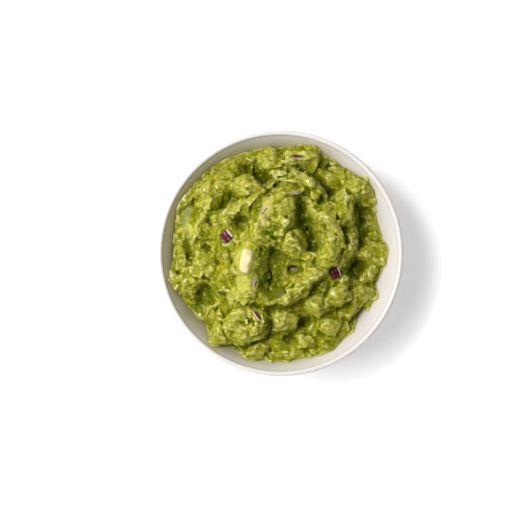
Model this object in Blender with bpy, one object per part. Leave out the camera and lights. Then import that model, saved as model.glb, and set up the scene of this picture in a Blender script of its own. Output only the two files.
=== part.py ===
"""Guacamole heaped in a small round bowl, with an avocado chunk and bits of red onion on top.

The bowl stands on Z = 0 with its middle on the Z axis. The mash is one solid that fills the
bowl up to an uneven heap. Each chunk, dice and sliver lies in a pocket cut for it, with a small
gap all round. Lengths below are in millimetres, and MM turns them into metres.
"""

from dataclasses import dataclass
from math import ceil, cos, pi, radians, sin

import bmesh
import bpy
import numpy as np
from mathutils import Euler, Matrix, Vector, noise

MM = 0.001
GAP = 0.35                 # clearance between the mash and what touches it

# Bowl
BOWL_HEIGHT = 44.0
BOWL_RADIUS = 57.5         # widest, at the lip
LIP_RADIUS = 1.25          # half the thickness of the rounded lip
FLOOR_THICKNESS = 3.8
FLOOR_LEVEL = 6.0          # inside, at the middle
FLAT_RADIUS = 22.0         # of the level part of the inside
SHOULDER = (48.0, 32.0)    # handles of the curve from lip to floor: radius and height
BELLY = (41.0, 6.0)
FOOT_OUTER = 30.5
FOOT_INNER = 26.5
FOOT_ROUNDING = 0.8
CURVE_STEPS = 10
LIP_STEPS = 6
BOWL_SEGMENTS = 64

# Mash
MASH_RINGS = 26            # the outermost ring of the top has six times as many corners
UNDERSIDE_COUNTS = (156, 96, 64, 48)
FLAT_COUNTS = (32, 12)
EDGE_LEVEL = 36.6          # where the heap meets the wall, before its rises and falls
CROWN_RISE = 13.0          # of the smooth heap above the edge
CROWN_POWER = 1.8
SWELL_POWER = 3            # how soon the rises and falls of the edge die away towards the middle
EDGE_BLEND = 0.9           # share of the radius past which the relief dies away
FOLD_SOFTNESS = 0.9        # how wide the steep side of a fold is
LUMP_SPACING = 6.5         # of the small uneven lumps all over the heap
LUMP_RISE = 1.3


@dataclass(frozen=True)
class Lump:
    """An oval mound, or a hollow where its rise is negative."""

    x: float
    y: float
    long: float
    short: float
    turn: float
    rise: float

    def lift(self, x, y):
        """Height that the lump adds at each point."""
        c, s = cos(radians(self.turn)), sin(radians(self.turn))
        along = ((x - self.x) * c + (y - self.y) * s) / self.long
        across = ((y - self.y) * c - (x - self.x) * s) / self.short
        q = along ** 2 + across ** 2
        if self.rise < 0:
            return self.rise * np.exp(-1.2 * q)
        return self.rise * np.clip(1 - q, 0, None) ** 0.8


@dataclass(frozen=True)
class Roll:
    """A rounded ridge along a path, or a crease where its rise is negative."""

    path: tuple
    width: float
    rise: float

    def lift(self, x, y):
        """Height that the roll adds at each point."""
        distance, _, _ = distance_to_path(self.path, x, y)
        return self.rise * np.exp(-(distance / self.width) ** 2)


@dataclass(frozen=True)
class Fold:
    """One layer lying over another: high to the left of its path, dropping to the right."""

    path: tuple
    lip: float
    drop: float
    lip_run: float
    drop_run: float
    softness: float = FOLD_SOFTNESS

    def lift(self, x, y):
        """Height that the fold adds at each point."""
        distance, side, share = distance_to_path(self.path, x, y)
        ends = np.clip(np.minimum(share, 1 - share) / 0.2, 0, 1)
        strength = 0.25 + 0.75 * ends * ends * (3 - 2 * ends)
        to_end = np.minimum(*(np.hypot(x - px, y - py) for px, py in (self.path[0], self.path[-1])))
        strength = np.where((share <= 0) | (share >= 1), 0.6 * np.exp(-(to_end / 3) ** 2), strength)
        high = self.lip * np.exp(-distance / self.lip_run)
        low = -self.drop * np.exp(-distance / self.drop_run)
        blend = 1 / (1 + np.exp(-np.clip(distance * side / max(self.softness, FOLD_SOFTNESS), -40, 40)))
        return strength * (high * blend + low * (1 - blend))


# How the edge of the heap rises and falls along the wall: direction, spread in degrees, rise
EDGE_SWELLS = (
    (14, 13, -3.3), (37, 8, 4.6), (52, 6, -2.4), (72, 8, 3.0), (100, 15, -1.6), (124, 8, 1.2), (152, 13, 3.2),
    (195, 8, 4.2), (206, 5, -2.0), (222, 6, -3.4), (234, 5, 4.6), (258, 12, 1.2), (310, 10, -1.2),
    (323, 7, -4.6), (345, 8, -4.8), (0, 9, 2.2), (178, 18, -1.8),
)

RELIEF = (
    # dome over the middle, with a lip to the north
    Lump(-0.5, 18.5, 18, 14, 70, 5.0),
    Fold(((-15, 14), (-13, 22), (-9, 28), (-1, 32.5), (9.5, 32.3), (16, 30), (20, 26.5)), 2.2, 2.4, 9, 5),
    # deep hole east of the dome, with the steep side that leads into it
    Fold(((2, 9.5), (5.5, 13), (7.2, 17), (7.8, 21), (10, 27)), 3.5, 4.0, 8, 6, 0.8),
    Roll(((8.8, 24), (10.5, 18), (12.5, 11), (14.8, 4.5)), 3.9, -7.5),
    Lump(18, 23, 3.5, 3.5, 0, -4.0),
    Lump(7, 5, 8, 6, 40, 4.2),
    # ring that runs round the hole and the basin
    Roll(((15, 20), (20, 16.5), (24, 11), (24.5, 4), (22.5, -3), (15.5, -10.5), (7, -17), (2, -20)), 4.6, 5.6),
    Fold(((26.6, -3), (28, 2), (28.3, 8), (26.5, 15)), 2.0, 5.0, 3, 3.5, 0.8),
    # flap beyond the ring, and the shaded valley at the right
    Fold(((31, -15), (32, -6), (35.5, 1), (36.5, 7), (35.8, 14), (34.2, 21), (32, 27)), 4.5, 8.5, 4, 10, 0.9),
    Lump(35.5, -6.5, 7, 6, -30, -5.0),
    # bank at the upper right, climbing the wall
    Lump(31, 32, 12, 7, -35, 3.2),
    Lump(44, 27, 6, 8, 20, 2.0),
    Fold(((16.5, 39.5), (18, 43.5), (17.5, 48)), 2.0, 4.5, 4, 4),
    Fold(((24, 24.5), (20, 31), (14.5, 35.5), (8, 38.5)), 1.5, 5.5, 5, 6),
    # lobes and notches along the top
    Fold(((-8, 30.5), (-11.5, 34), (-12.5, 38.5)), 1.5, 7.0, 4, 7),
    Lump(-15, 41, 5, 3.5, 0, -3.0),
    Roll(((-16, 38.5), (-8.5, 36.5), (-2, 33)), 3.0, -4.5),
    Lump(-16.0, 31.5, 8, 5.2, 20, 5.5),
    Lump(-5, 44, 6, 4.5, 0, 3.0),
    Lump(8, 45, 9, 4, 0, 3.2),
    # upper left slope and the finger that runs down it
    Lump(-31, 30, 12, 7.5, 45, 4.0),
    Lump(-26, 24.8, 6.5, 3, 35, -3.6),
    Roll(((-11, 27), (-18.5, 21.5), (-26, 15)), 3.2, 3.5),
    Lump(-18, 14.5, 3.2, 3, 45, -5.0),
    # creases and ridges beside the left wall
    Roll(((-38.5, 26.7), (-41.7, 23.5), (-45.7, 18.7)), 1.2, -2.5),
    Roll(((-31.3, 23.5), (-35.3, 18.7), (-38.5, 12.3), (-41.7, 5.8)), 2.4, 3.0),
    Roll(((-43.5, 9), (-43.8, 3), (-42.5, -3)), 1.4, -3.0),
    Lump(-47, 1, 4.5, 8, 0, 2.2),
    Lump(-37, -5, 7, 7, 0, 2.6),
    # shoulder that carries the avocado chunk, and the basin right of it
    Roll(((-12, 9), (-13.5, 1), (-15, -8), (-15.5, -17)), 6.0, 3.0),
    Fold(((-3, -24), (-4.8, -19), (-5.8, -12), (-5.8, -5), (-5, 1), (-3, 6)), 3.0, 12.0, 6, 12, 4.2),
    Lump(5.5, -7, 3, 3, 0, -3.0),
    # long fold that lies over the lower lobes
    Fold(((-9, -23.5), (-0.8, -24), (7.2, -22.4), (12.5, -18.8), (15, -14), (18.5, -11), (24, -8.6)),
         1.5, 4.2, 5, 5, 0.6),
    Lump(-15.5, -33, 11, 9, 0, 7.0),
    Lump(1.5, -30.5, 7, 4.8, 0, 5.0),
    Fold(((-31, -42.2), (-22.5, -43.5), (-12.8, -42), (-4.8, -38), (1.6, -36), (8.8, -34.4), (12.5, -31)),
         2.2, 3.6, 6, 4),
    Lump(-5.5, -35, 3.2, 4.5, 0, -4.5),
    Lump(11.4, -31.6, 4.5, 3.5, 0, -6.0),
    Lump(5, -40.5, 3.5, 3.5, 0, -4.5),
    # lower right
    Lump(27.5, -20, 6, 5.5, 0, 5.5),
    Lump(18, -24, 6.5, 5.5, 0, 5.2),
    Lump(24, -34.5, 5, 4.2, 30, 4.5),
    Fold(((32.5, -33), (36, -28.5), (40, -24)), 2.2, 3.4, 5, 3),
    Lump(42, -10.2, 5.5, 3.4, 40, 3.5),
    Lump(38.5, -1, 4.5, 3.6, 0, 2.4),
    # lower shelf and left foot of the heap
    Lump(10, -41, 5, 4, 0, 3.2),
    Lump(-11, -46, 5, 4, 30, 2.4),
    Fold(((-38, -25), (-39, -19), (-37, -12.5)), 2.5, 4.0, 4, 7, 1.0),
    Lump(-39.5, -26, 4, 4, 0, -3.5),
    Lump(-33.5, -19, 6, 5, 0, -3.6),
    Lump(-29, -32, 3.6, 6, 20, 2.2),
)


@dataclass(frozen=True)
class Topping:
    """A piece half sunk in the mash: where it lies, its size, and how it is turned in degrees."""

    node: str
    material: str
    x: float
    y: float
    size: tuple
    turn: tuple
    proud: float           # how far its middle stands above the mash there


TOPPINGS = (
    Topping("onion_dice_left", "onion_skin", -24.9, 8.2, (5.4, 4.6, 4.0), (8, -6, 38), 0.2),
    Topping("onion_dice_right", "onion_skin", 25.2, -9.6, (4.4, 4.6, 3.8), (-6, 12, 20), 0.1),
    Topping("onion_slice_back", "onion_flesh", -0.2, 36.2, (6.8, 4.2, 2.6), (-14, 6, -6), 0.2),
    Topping("onion_sliver_top", "onion_skin", 7.6, 45.0, (5.2, 1.5, 1.8), (10, 0, -4), 0.1),
    Topping("onion_sliver_crest", "onion_flesh", 6.4, 28.3, (5.8, 1.5, 1.8), (0, 5, 3), 0.1),
    Topping("onion_sliver_middle", "onion_flesh", -12.4, -13.4, (1.6, 5.4, 1.8), (5, 0, -6), 0.1),
    Topping("onion_sliver_low", "onion_skin", -10.8, -28.9, (5.6, 1.9, 1.8), (0, -6, -52), 0.1),
    Topping("onion_bit_centre", "onion_skin", 5.6, -7.1, (2.8, 1.6, 1.8), (0, 0, 20), 0.1),
)

CHUNK_PLACE = (-16.0, -2.9)
CHUNK_SIZE = (8.4, 14.2, 6.4)
CHUNK_TURN = (4, -6, -16)
CHUNK_PROUD = 0.9
CHUNK_SQUARENESS = 2.6     # 2 is an egg, more is a block with rounded corners
CHUNK_SEGMENTS = 16
CHUNK_RINGS = 10

COLOURS = {                # colour, roughness
    "ceramic": ((0.82, 0.79, 0.76), 0.45),
    "mash": ((0.28, 0.30, 0.03), 0.35),
    "avocado": ((0.78, 0.68, 0.36), 0.45),
    "onion_skin": ((0.16, 0.03, 0.06), 0.3),
    "onion_flesh": ((0.62, 0.52, 0.50), 0.3),
}


def smooth_path(points, step=1.0):
    """Points along a smooth curve through the given ones."""
    knots = np.array(points, float)
    knots = np.vstack([2 * knots[0] - knots[1], knots, 2 * knots[-1] - knots[-2]])
    curve = []
    for a, b, c, d in zip(knots, knots[1:], knots[2:], knots[3:]):
        count = ceil(np.linalg.norm(c - b) / step)
        t = np.linspace(0, 1, count, endpoint=False)[:, None]
        curve.append(0.5 * (2 * b + (c - a) * t + (2 * a - 5 * b + 4 * c - d) * t ** 2
                            + (3 * b - a - 3 * c + d) * t ** 3))
    return np.vstack(curve + [knots[-2:-1]])


def distance_to_path(path, x, y):
    """Distance to a path, the side of it (1 is left), and the share of its length passed."""
    points = smooth_path(path)
    spans = np.diff(points, axis=0)
    lengths = np.hypot(spans[:, 0], spans[:, 1])
    passed = np.concatenate([[0], np.cumsum(lengths)])
    nearest = np.full(np.shape(x), np.inf)
    side = np.ones(np.shape(x))
    share = np.zeros(np.shape(x))
    for (px, py), (sx, sy), length, start in zip(points, spans, lengths, passed):
        t = np.clip(((x - px) * sx + (y - py) * sy) / length ** 2, 0, 1)
        dx, dy = x - px - t * sx, y - py - t * sy
        distance = np.hypot(dx, dy)
        closer = distance < nearest
        nearest = np.where(closer, distance, nearest)
        side = np.where(closer, np.where(sx * dy - sy * dx < 0, -1, 1), side)
        share = np.where(closer, (start + t * length) / passed[-1], share)
    return nearest, side, share


def wall_curve(inset=0.0):
    """Points (radius, height) of the bowl's inside from lip to floor, moved inwards by inset."""
    t = np.linspace(0, 1, CURVE_STEPS + 1)[:, None]
    ends = (BOWL_RADIUS - 2 * LIP_RADIUS, BOWL_HEIGHT - LIP_RADIUS), (FLAT_RADIUS, FLOOR_LEVEL)
    a, b, c, d = (np.array(p) for p in (ends[0], SHOULDER, BELLY, ends[1]))
    points = a * (1 - t) ** 3 + 3 * b * (1 - t) ** 2 * t + 3 * c * (1 - t) * t ** 2 + d * t ** 3
    slope = 3 * ((b - a) * (1 - t) ** 2 + 2 * (c - b) * (1 - t) * t + (d - c) * t ** 2)
    inward = np.stack([slope[:, 1], -slope[:, 0]], axis=1)
    inward /= np.linalg.norm(inward, axis=1)[:, None]
    return points + inward * np.reshape(inset, (-1, 1))


def edge_level(direction):
    """Height at which the heap meets the wall, in a direction given in radians."""
    level = EDGE_LEVEL
    for degrees, spread, rise in EDGE_SWELLS:
        turn = (direction - radians(degrees) + pi) % (2 * pi) - pi
        level = level + rise * np.exp(-(turn / radians(spread)) ** 2)
    return level


def lumpiness(x, y):
    """Smooth uneven lumps, from -1 to 1."""
    flat = zip(np.ravel(x) / LUMP_SPACING, np.ravel(y) / LUMP_SPACING)
    return np.reshape([noise.noise(Vector((u, v, 0.5))) for u, v in flat], np.shape(x))


def heap_height(x, y):
    """Height of the top of the mash at points given in millimetres."""
    lining = wall_curve(GAP)
    level = edge_level(np.arctan2(y, x))
    reach = np.interp(-level, -lining[:, 1], lining[:, 0])
    q = np.clip(np.hypot(x, y) / reach, 0, 1)
    swell = (level - EDGE_LEVEL) * q ** SWELL_POWER
    relief = sum(feature.lift(x, y) for feature in RELIEF) + LUMP_RISE * lumpiness(x, y)
    fade = np.clip((1 - q) / (1 - EDGE_BLEND), 0, 1)
    return EDGE_LEVEL + swell + CROWN_RISE * (1 - q ** CROWN_POWER) + relief * fade * (2 - fade)


def add_object(bm, name, material, smooth_angle=None):
    """Turn a closed bmesh in millimetres into an object of that name, in metres."""
    bmesh.ops.recalc_face_normals(bm, faces=bm.faces)
    bmesh.ops.scale(bm, vec=Vector((MM, MM, MM)), verts=bm.verts)
    mesh = bpy.data.meshes.new(name)
    bm.to_mesh(mesh)
    bm.free()
    mesh.materials.append(material)
    if smooth_angle is not None:
        mesh.shade_smooth()
        mesh.set_sharp_from_angle(angle=radians(smooth_angle))
    obj = bpy.data.objects.new(name, mesh)
    bpy.context.collection.objects.link(obj)
    return obj


def make_material(name):
    """A Principled material with the colour and roughness of that name."""
    (red, green, blue), roughness = COLOURS[name]
    material = bpy.data.materials.new(name)
    material.use_nodes = True
    shader = material.node_tree.nodes["Principled BSDF"]
    shader.inputs["Base Color"].default_value = (red, green, blue, 1)
    shader.inputs["Roughness"].default_value = roughness
    shader.inputs["Metallic"].default_value = 0
    return material


def bowl_profile():
    """Closed section of the bowl from the middle of its inside to the middle of its underside."""
    inside = wall_curve()[::-1]
    lip_middle = np.array([BOWL_RADIUS - LIP_RADIUS, BOWL_HEIGHT - LIP_RADIUS])
    lip = [lip_middle + LIP_RADIUS * np.array([-cos(a), sin(a)]) for a in np.linspace(0, pi, LIP_STEPS + 1)[1:]]
    thickness = np.linspace(2 * LIP_RADIUS, FLOOR_THICKNESS, CURVE_STEPS + 1)
    outside = wall_curve(-thickness)
    underside = FLOOR_LEVEL - FLOOR_THICKNESS
    outside = [p for p in outside[1:] if p[0] > FOOT_OUTER + FOOT_ROUNDING]
    foot_top = outside[-1][1] - FOOT_ROUNDING
    foot = [(FOOT_OUTER, foot_top), (FOOT_OUTER, FOOT_ROUNDING), (FOOT_OUTER - FOOT_ROUNDING, 0),
            (FOOT_INNER + FOOT_ROUNDING, 0), (FOOT_INNER, FOOT_ROUNDING), (FOOT_INNER, underside)]
    return [(0, FLOOR_LEVEL), *inside, *lip, *outside, *foot, (0, underside)]


def make_bowl(material):
    """The bowl, turned about the Z axis from its section."""
    bm = bmesh.new()
    verts = [bm.verts.new((r, 0, z)) for r, z in bowl_profile()]
    edges = [bm.edges.new(pair) for pair in zip(verts, verts[1:])]
    bmesh.ops.spin(bm, geom=verts + edges, axis=(0, 0, 1), cent=(0, 0, 0), angle=2 * pi,
                   steps=BOWL_SEGMENTS, use_merge=True)
    bmesh.ops.remove_doubles(bm, verts=bm.verts, dist=0.001)
    return add_object(bm, "bowl", material, smooth_angle=40)


def stitch(bm, outer, inner):
    """Fill the band between two rings of corners that start in the same direction."""
    if len(inner) == 1:
        for a, b in zip(outer, outer[1:] + outer[:1]):
            bm.faces.new((a, b, inner[0]))
        return
    i = j = 0
    while i < len(outer) or j < len(inner):
        a, b = outer[i % len(outer)], inner[j % len(inner)]
        if (i + 0.5) * len(inner) <= (j + 0.5) * len(outer):
            i += 1
            bm.faces.new((a, outer[i % len(outer)], b))
        else:
            j += 1
            bm.faces.new((a, inner[j % len(inner)], b))


def mash_rings():
    """Rings of points of the mash, from the middle of its top down to the middle of its underside."""
    lining = wall_curve(GAP)
    steps = np.arange(len(lining))
    floor = lining[-1, 1]

    def on_lining(direction, share):
        """Points on the lining, from the heap's edge at share 0 to the floor at share 1."""
        start = np.interp(-edge_level(direction), -lining[:, 1], steps)
        at = start + (steps[-1] - start) * share
        r = np.interp(at, steps, lining[:, 0])
        return np.stack([r * np.cos(direction), r * np.sin(direction), np.interp(at, steps, lining[:, 1])], 1)

    rings = [np.array([[0, 0, heap_height(np.zeros(1), np.zeros(1))[0]]])]
    for ring in range(1, MASH_RINGS):
        direction = np.arange(6 * ring) * 2 * pi / (6 * ring)
        edge = on_lining(direction, 0)
        x, y = edge[:, 0] * ring / MASH_RINGS, edge[:, 1] * ring / MASH_RINGS
        rings.append(np.stack([x, y, heap_height(x, y)], 1))
    for index, count in enumerate(UNDERSIDE_COUNTS):
        direction = np.arange(count) * 2 * pi / count
        rings.append(on_lining(direction, index / (len(UNDERSIDE_COUNTS) - 1)))
    for index, count in enumerate(FLAT_COUNTS):
        direction = np.arange(count) * 2 * pi / count
        r = lining[-1, 0] * (1 - (index + 1) / (len(FLAT_COUNTS) + 1))
        rings.append(np.stack([r * np.cos(direction), r * np.sin(direction), np.full(count, floor)], 1))
    rings.append(np.array([[0, 0, floor]]))
    return rings


def make_mash(material):
    """The mash: an uneven heap on top, the shape of the bowl below."""
    bm = bmesh.new()
    rings = [[bm.verts.new(point) for point in ring] for ring in mash_rings()]
    for a, b in zip(rings, rings[1:]):
        outer, inner = (a, b) if len(a) >= len(b) else (b, a)
        stitch(bm, outer, inner)
    return add_object(bm, "guacamole", material, smooth_angle=60)


def place(bm, x, y, turn, proud):
    """Lay a shape made round the origin on the heap at x, y, tilted with the heap's slope."""
    reach = 2.5
    xs = np.array([x, x + reach, x - reach, x, x])
    ys = np.array([y, y, y, y + reach, y - reach])
    middle, east, west, north, south = heap_height(xs, ys)
    normal = Vector(((west - east) / (2 * reach), (south - north) / (2 * reach), 1)).normalized()
    lean = Vector((0, 0, 1)).rotation_difference(Vector((0, 0, 1)).lerp(normal, 0.5))
    spin = Euler([radians(a) for a in turn]).to_matrix().to_4x4()
    where = Matrix.Translation((x, y, middle + proud)) @ lean.to_matrix().to_4x4() @ spin
    bmesh.ops.transform(bm, matrix=where, verts=bm.verts)


def block(size):
    """A small block."""
    bm = bmesh.new()
    bmesh.ops.create_cube(bm, size=1)
    bmesh.ops.scale(bm, vec=Vector(size), verts=bm.verts)
    return bm


def pebble(size, squareness):
    """A rounded block: a sphere pushed towards its corners."""
    bm = bmesh.new()
    bmesh.ops.create_uvsphere(bm, u_segments=CHUNK_SEGMENTS, v_segments=CHUNK_RINGS, radius=1)
    for vert in bm.verts:
        norm = sum(abs(value) ** squareness for value in vert.co) ** (1 / squareness)
        vert.co = Vector([value / norm * half / 2 for value, half in zip(vert.co, size)])
    return bm


def cut_pocket(mash, bm_shape, name):
    """Cut the shape out of the mash with an exact Boolean."""
    cutter = add_object(bm_shape, name + "_pocket", mash.data.materials[0])
    cutter.hide_render = True
    cutter.display_type = "WIRE"
    pocket = mash.modifiers.new(cutter.name, "BOOLEAN")
    pocket.operation = "DIFFERENCE"
    pocket.solver = "EXACT"
    pocket.object = cutter


def add_toppings(mash, materials):
    """The bits of onion, each in its pocket."""
    for piece in TOPPINGS:
        bm = block(piece.size)
        place(bm, piece.x, piece.y, piece.turn, piece.proud)
        add_object(bm, piece.node, materials[piece.material])
        bm = block([length + 2 * GAP for length in piece.size])
        place(bm, piece.x, piece.y, piece.turn, piece.proud)
        cut_pocket(mash, bm, piece.node)


def add_chunk(mash, material):
    """The pale avocado chunk, in its pocket."""
    bm = pebble(CHUNK_SIZE, CHUNK_SQUARENESS)
    place(bm, *CHUNK_PLACE, CHUNK_TURN, CHUNK_PROUD)
    add_object(bm, "avocado_chunk", material, smooth_angle=60)
    bm = pebble([length + 2 * GAP for length in CHUNK_SIZE], CHUNK_SQUARENESS)
    place(bm, *CHUNK_PLACE, CHUNK_TURN, CHUNK_PROUD)
    cut_pocket(mash, bm, "avocado_chunk")


def main():
    """Clear the scene and build every piece."""
    for obj in list(bpy.data.objects):
        bpy.data.objects.remove(obj, do_unlink=True)
    materials = {name: make_material(name) for name in COLOURS}
    make_bowl(materials["ceramic"])
    mash = make_mash(materials["mash"])
    add_chunk(mash, materials["avocado"])
    add_toppings(mash, materials)


main()
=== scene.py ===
"""A small bowl heaped with guacamole: the finish of every surface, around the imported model.

Sizes are in millimetres, and MM turns them into metres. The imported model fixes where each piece
lies: the bowl, the heap of mash, the avocado chunk and the bits of red onion.
"""

import logging
from collections.abc import Callable, Iterable, Sequence
from dataclasses import dataclass, field
from enum import Enum
from math import ceil, cos, pi, radians, sin

import bmesh
import bpy
import numpy as np
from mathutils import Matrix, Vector
from mathutils.bvhtree import BVHTree


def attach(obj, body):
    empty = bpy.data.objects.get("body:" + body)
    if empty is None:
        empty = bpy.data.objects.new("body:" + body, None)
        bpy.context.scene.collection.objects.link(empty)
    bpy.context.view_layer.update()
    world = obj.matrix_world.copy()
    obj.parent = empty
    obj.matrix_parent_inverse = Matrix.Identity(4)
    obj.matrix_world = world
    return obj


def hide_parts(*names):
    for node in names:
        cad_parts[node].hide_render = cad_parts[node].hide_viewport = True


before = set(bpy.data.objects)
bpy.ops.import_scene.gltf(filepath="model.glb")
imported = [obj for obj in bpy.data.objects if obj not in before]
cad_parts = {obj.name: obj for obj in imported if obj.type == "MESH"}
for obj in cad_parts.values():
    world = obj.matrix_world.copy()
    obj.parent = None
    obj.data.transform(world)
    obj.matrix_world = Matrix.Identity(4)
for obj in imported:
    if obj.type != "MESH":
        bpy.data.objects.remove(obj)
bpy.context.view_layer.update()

MM = 0.001
BODY = "root"
log = logging.getLogger("guacamole")


class Slot(Enum):
    """The record's material slots."""

    CERAMIC = "ceramic"
    MASH = "mash"
    AVOCADO = "avocado"
    SKIN = "onion_skin"
    FLESH = "onion_flesh"
    HERB = "herb"


# ---------------------------------------------------------------- seeded noise


@dataclass(frozen=True)
class Noise:
    """Repeatable noise over points in space.

    Attributes:
        scale: Size of its features, in millimetres.
        seed: Number that fixes the pattern.
        count: Cells before the pattern repeats.
    """

    scale: float
    seed: int
    count: int = 32

    def _cells(self, points: np.ndarray) -> tuple[np.ndarray, np.ndarray]:
        """Whole cell numbers of the points, and where in their cells they lie."""
        place = points.astype(np.float32) / np.float32(self.scale) + np.float32(100.37)
        cell = np.floor(place).astype(np.int32)
        return cell, place - cell

    def _index(self, cell: np.ndarray, step: Sequence[int]) -> np.ndarray:
        """Row numbers of the cells that lie a step away."""
        x, y, z = ((cell[:, axis] + step[axis]) % self.count for axis in range(3))
        return (x * self.count + y) * self.count + z

    def gradient(self, points: np.ndarray) -> np.ndarray:
        """Smooth noise, about -1 to 1.

        Args:
            points: Places, one row each.

        Returns:
            One value for each place.
        """
        rng = np.random.default_rng(self.seed)
        slopes = rng.normal(size=(self.count ** 3, 3)).astype(np.float32)
        slopes /= np.linalg.norm(slopes, axis=1, keepdims=True)
        cell, part = self._cells(points)
        ease = part ** 3 * (part * (part * 6 - 15) + 10)
        total = np.zeros(len(points), np.float32)
        for step in np.ndindex(2, 2, 2):
            corner = np.array(step, np.float32)
            weight = np.prod(np.where(corner > 0, ease, 1 - ease), axis=1)
            total += weight * np.einsum("ij,ij->i", slopes[self._index(cell, step)], part - corner)
        return total * 1.5

    def grains(self, points: np.ndarray, hardness: float = 9.0) -> np.ndarray:
        """Square of the distance to the nearest of scattered grains, in cells, with soft joints.

        Args:
            points: Places, one row each.
            hardness: How sharply one grain meets the next.

        Returns:
            One value for each place.
        """
        rng = np.random.default_rng(self.seed)
        middles = rng.random(size=(self.count ** 3, 3)).astype(np.float32)
        cell, part = self._cells(points)
        total = np.full(len(points), 1e-6, np.float32)
        for step in np.ndindex(3, 3, 3):
            step = np.array(step) - 1
            offset = middles[self._index(cell, step)] + step.astype(np.float32) - part
            total += np.exp(-hardness * np.einsum("ij,ij->i", offset, offset))
        return -np.log(total) / hardness


# ---------------------------------------------------------------- shapes of the heap


def smooth_path(points: Sequence[Sequence[float]], step: float = 0.8) -> np.ndarray:
    """Points along a smooth curve through the given ones."""
    knots = np.array(points, float)
    knots = np.vstack([2 * knots[0] - knots[1], knots, 2 * knots[-1] - knots[-2]])
    curve = []
    for a, b, c, d in zip(knots, knots[1:], knots[2:], knots[3:]):
        t = np.linspace(0, 1, ceil(np.linalg.norm(c - b) / step), endpoint=False)[:, None]
        curve.append(0.5 * (2 * b + (c - a) * t + (2 * a - 5 * b + 4 * c - d) * t ** 2
                            + (3 * b - a - 3 * c + d) * t ** 3))
    return np.vstack(curve + [knots[-2:-1]])


def along_path(path: Sequence, x: np.ndarray, y: np.ndarray) -> tuple[np.ndarray, np.ndarray, np.ndarray]:
    """How points lie beside a path.

    Args:
        path: Corners of the path.
        x: Where the points are, along X.
        y: Where the points are, along Y.

    Returns:
        Distance to the path, side of it (1 is left, -1 is right), and share of its length passed.
    """
    points = smooth_path(path)
    spans = np.diff(points, axis=0)
    lengths = np.hypot(spans[:, 0], spans[:, 1])
    passed = np.concatenate([[0], np.cumsum(lengths)])
    nearest, side, share = np.full(x.shape, np.inf), np.ones(x.shape), np.zeros(x.shape)
    for (px, py), (sx, sy), length, start in zip(points, spans, lengths, passed):
        t = np.clip(((x - px) * sx + (y - py) * sy) / length ** 2, 0, 1)
        dx, dy = x - px - t * sx, y - py - t * sy
        distance = np.hypot(dx, dy)
        closer = distance < nearest
        nearest = np.where(closer, distance, nearest)
        side = np.where(closer, np.where(sx * dy - sy * dx < 0, -1, 1), side)
        share = np.where(closer, (start + t * length) / passed[-1], share)
    return nearest, side, share


@dataclass(frozen=True)
class Lump:
    """An oval mound, or a hollow where its rise is negative."""

    x: float
    y: float
    long: float
    short: float
    turn: float
    rise: float

    def lift(self, x: np.ndarray, y: np.ndarray) -> np.ndarray:
        """Height that the lump adds at each point."""
        c, s = cos(radians(self.turn)), sin(radians(self.turn))
        along = ((x - self.x) * c + (y - self.y) * s) / self.long
        across = ((y - self.y) * c - (x - self.x) * s) / self.short
        q = along ** 2 + across ** 2
        if self.rise < 0:
            return self.rise * np.exp(-1.2 * q)
        return self.rise * np.clip(1 - q, 0, None) ** 0.6


@dataclass(frozen=True)
class Roll:
    """A rounded ridge along a path, or a crease where its rise is negative."""

    path: tuple
    width: float
    rise: float

    def lift(self, x: np.ndarray, y: np.ndarray) -> np.ndarray:
        """Height that the roll adds at each point."""
        distance, _, _ = along_path(self.path, x, y)
        return self.rise * np.exp(-(distance / self.width) ** 2)


@dataclass(frozen=True)
class Fold:
    """One layer lying over another: high to the left of its path, dropping to the right."""

    path: tuple
    lip: float
    drop: float
    lip_run: float
    drop_run: float
    softness: float = 0.3

    def lift(self, x: np.ndarray, y: np.ndarray) -> np.ndarray:
        """Height that the fold adds at each point."""
        distance, side, share = along_path(self.path, x, y)
        ends = np.clip(np.minimum(share, 1 - share) / 0.2, 0, 1)
        strength = 0.25 + 0.75 * ends * ends * (3 - 2 * ends)
        to_end = np.minimum(*(np.hypot(x - px, y - py) for px, py in (self.path[0], self.path[-1])))
        strength = np.where((share <= 0) | (share >= 1), 0.6 * np.exp(-(to_end / 3) ** 2), strength)
        high = self.lip * np.exp(-distance / self.lip_run)
        low = -self.drop * np.exp(-distance / self.drop_run)
        blend = 1 / (1 + np.exp(-np.clip(distance * side / self.softness, -40, 40)))
        return strength * (high * blend + low * (1 - blend))


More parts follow.
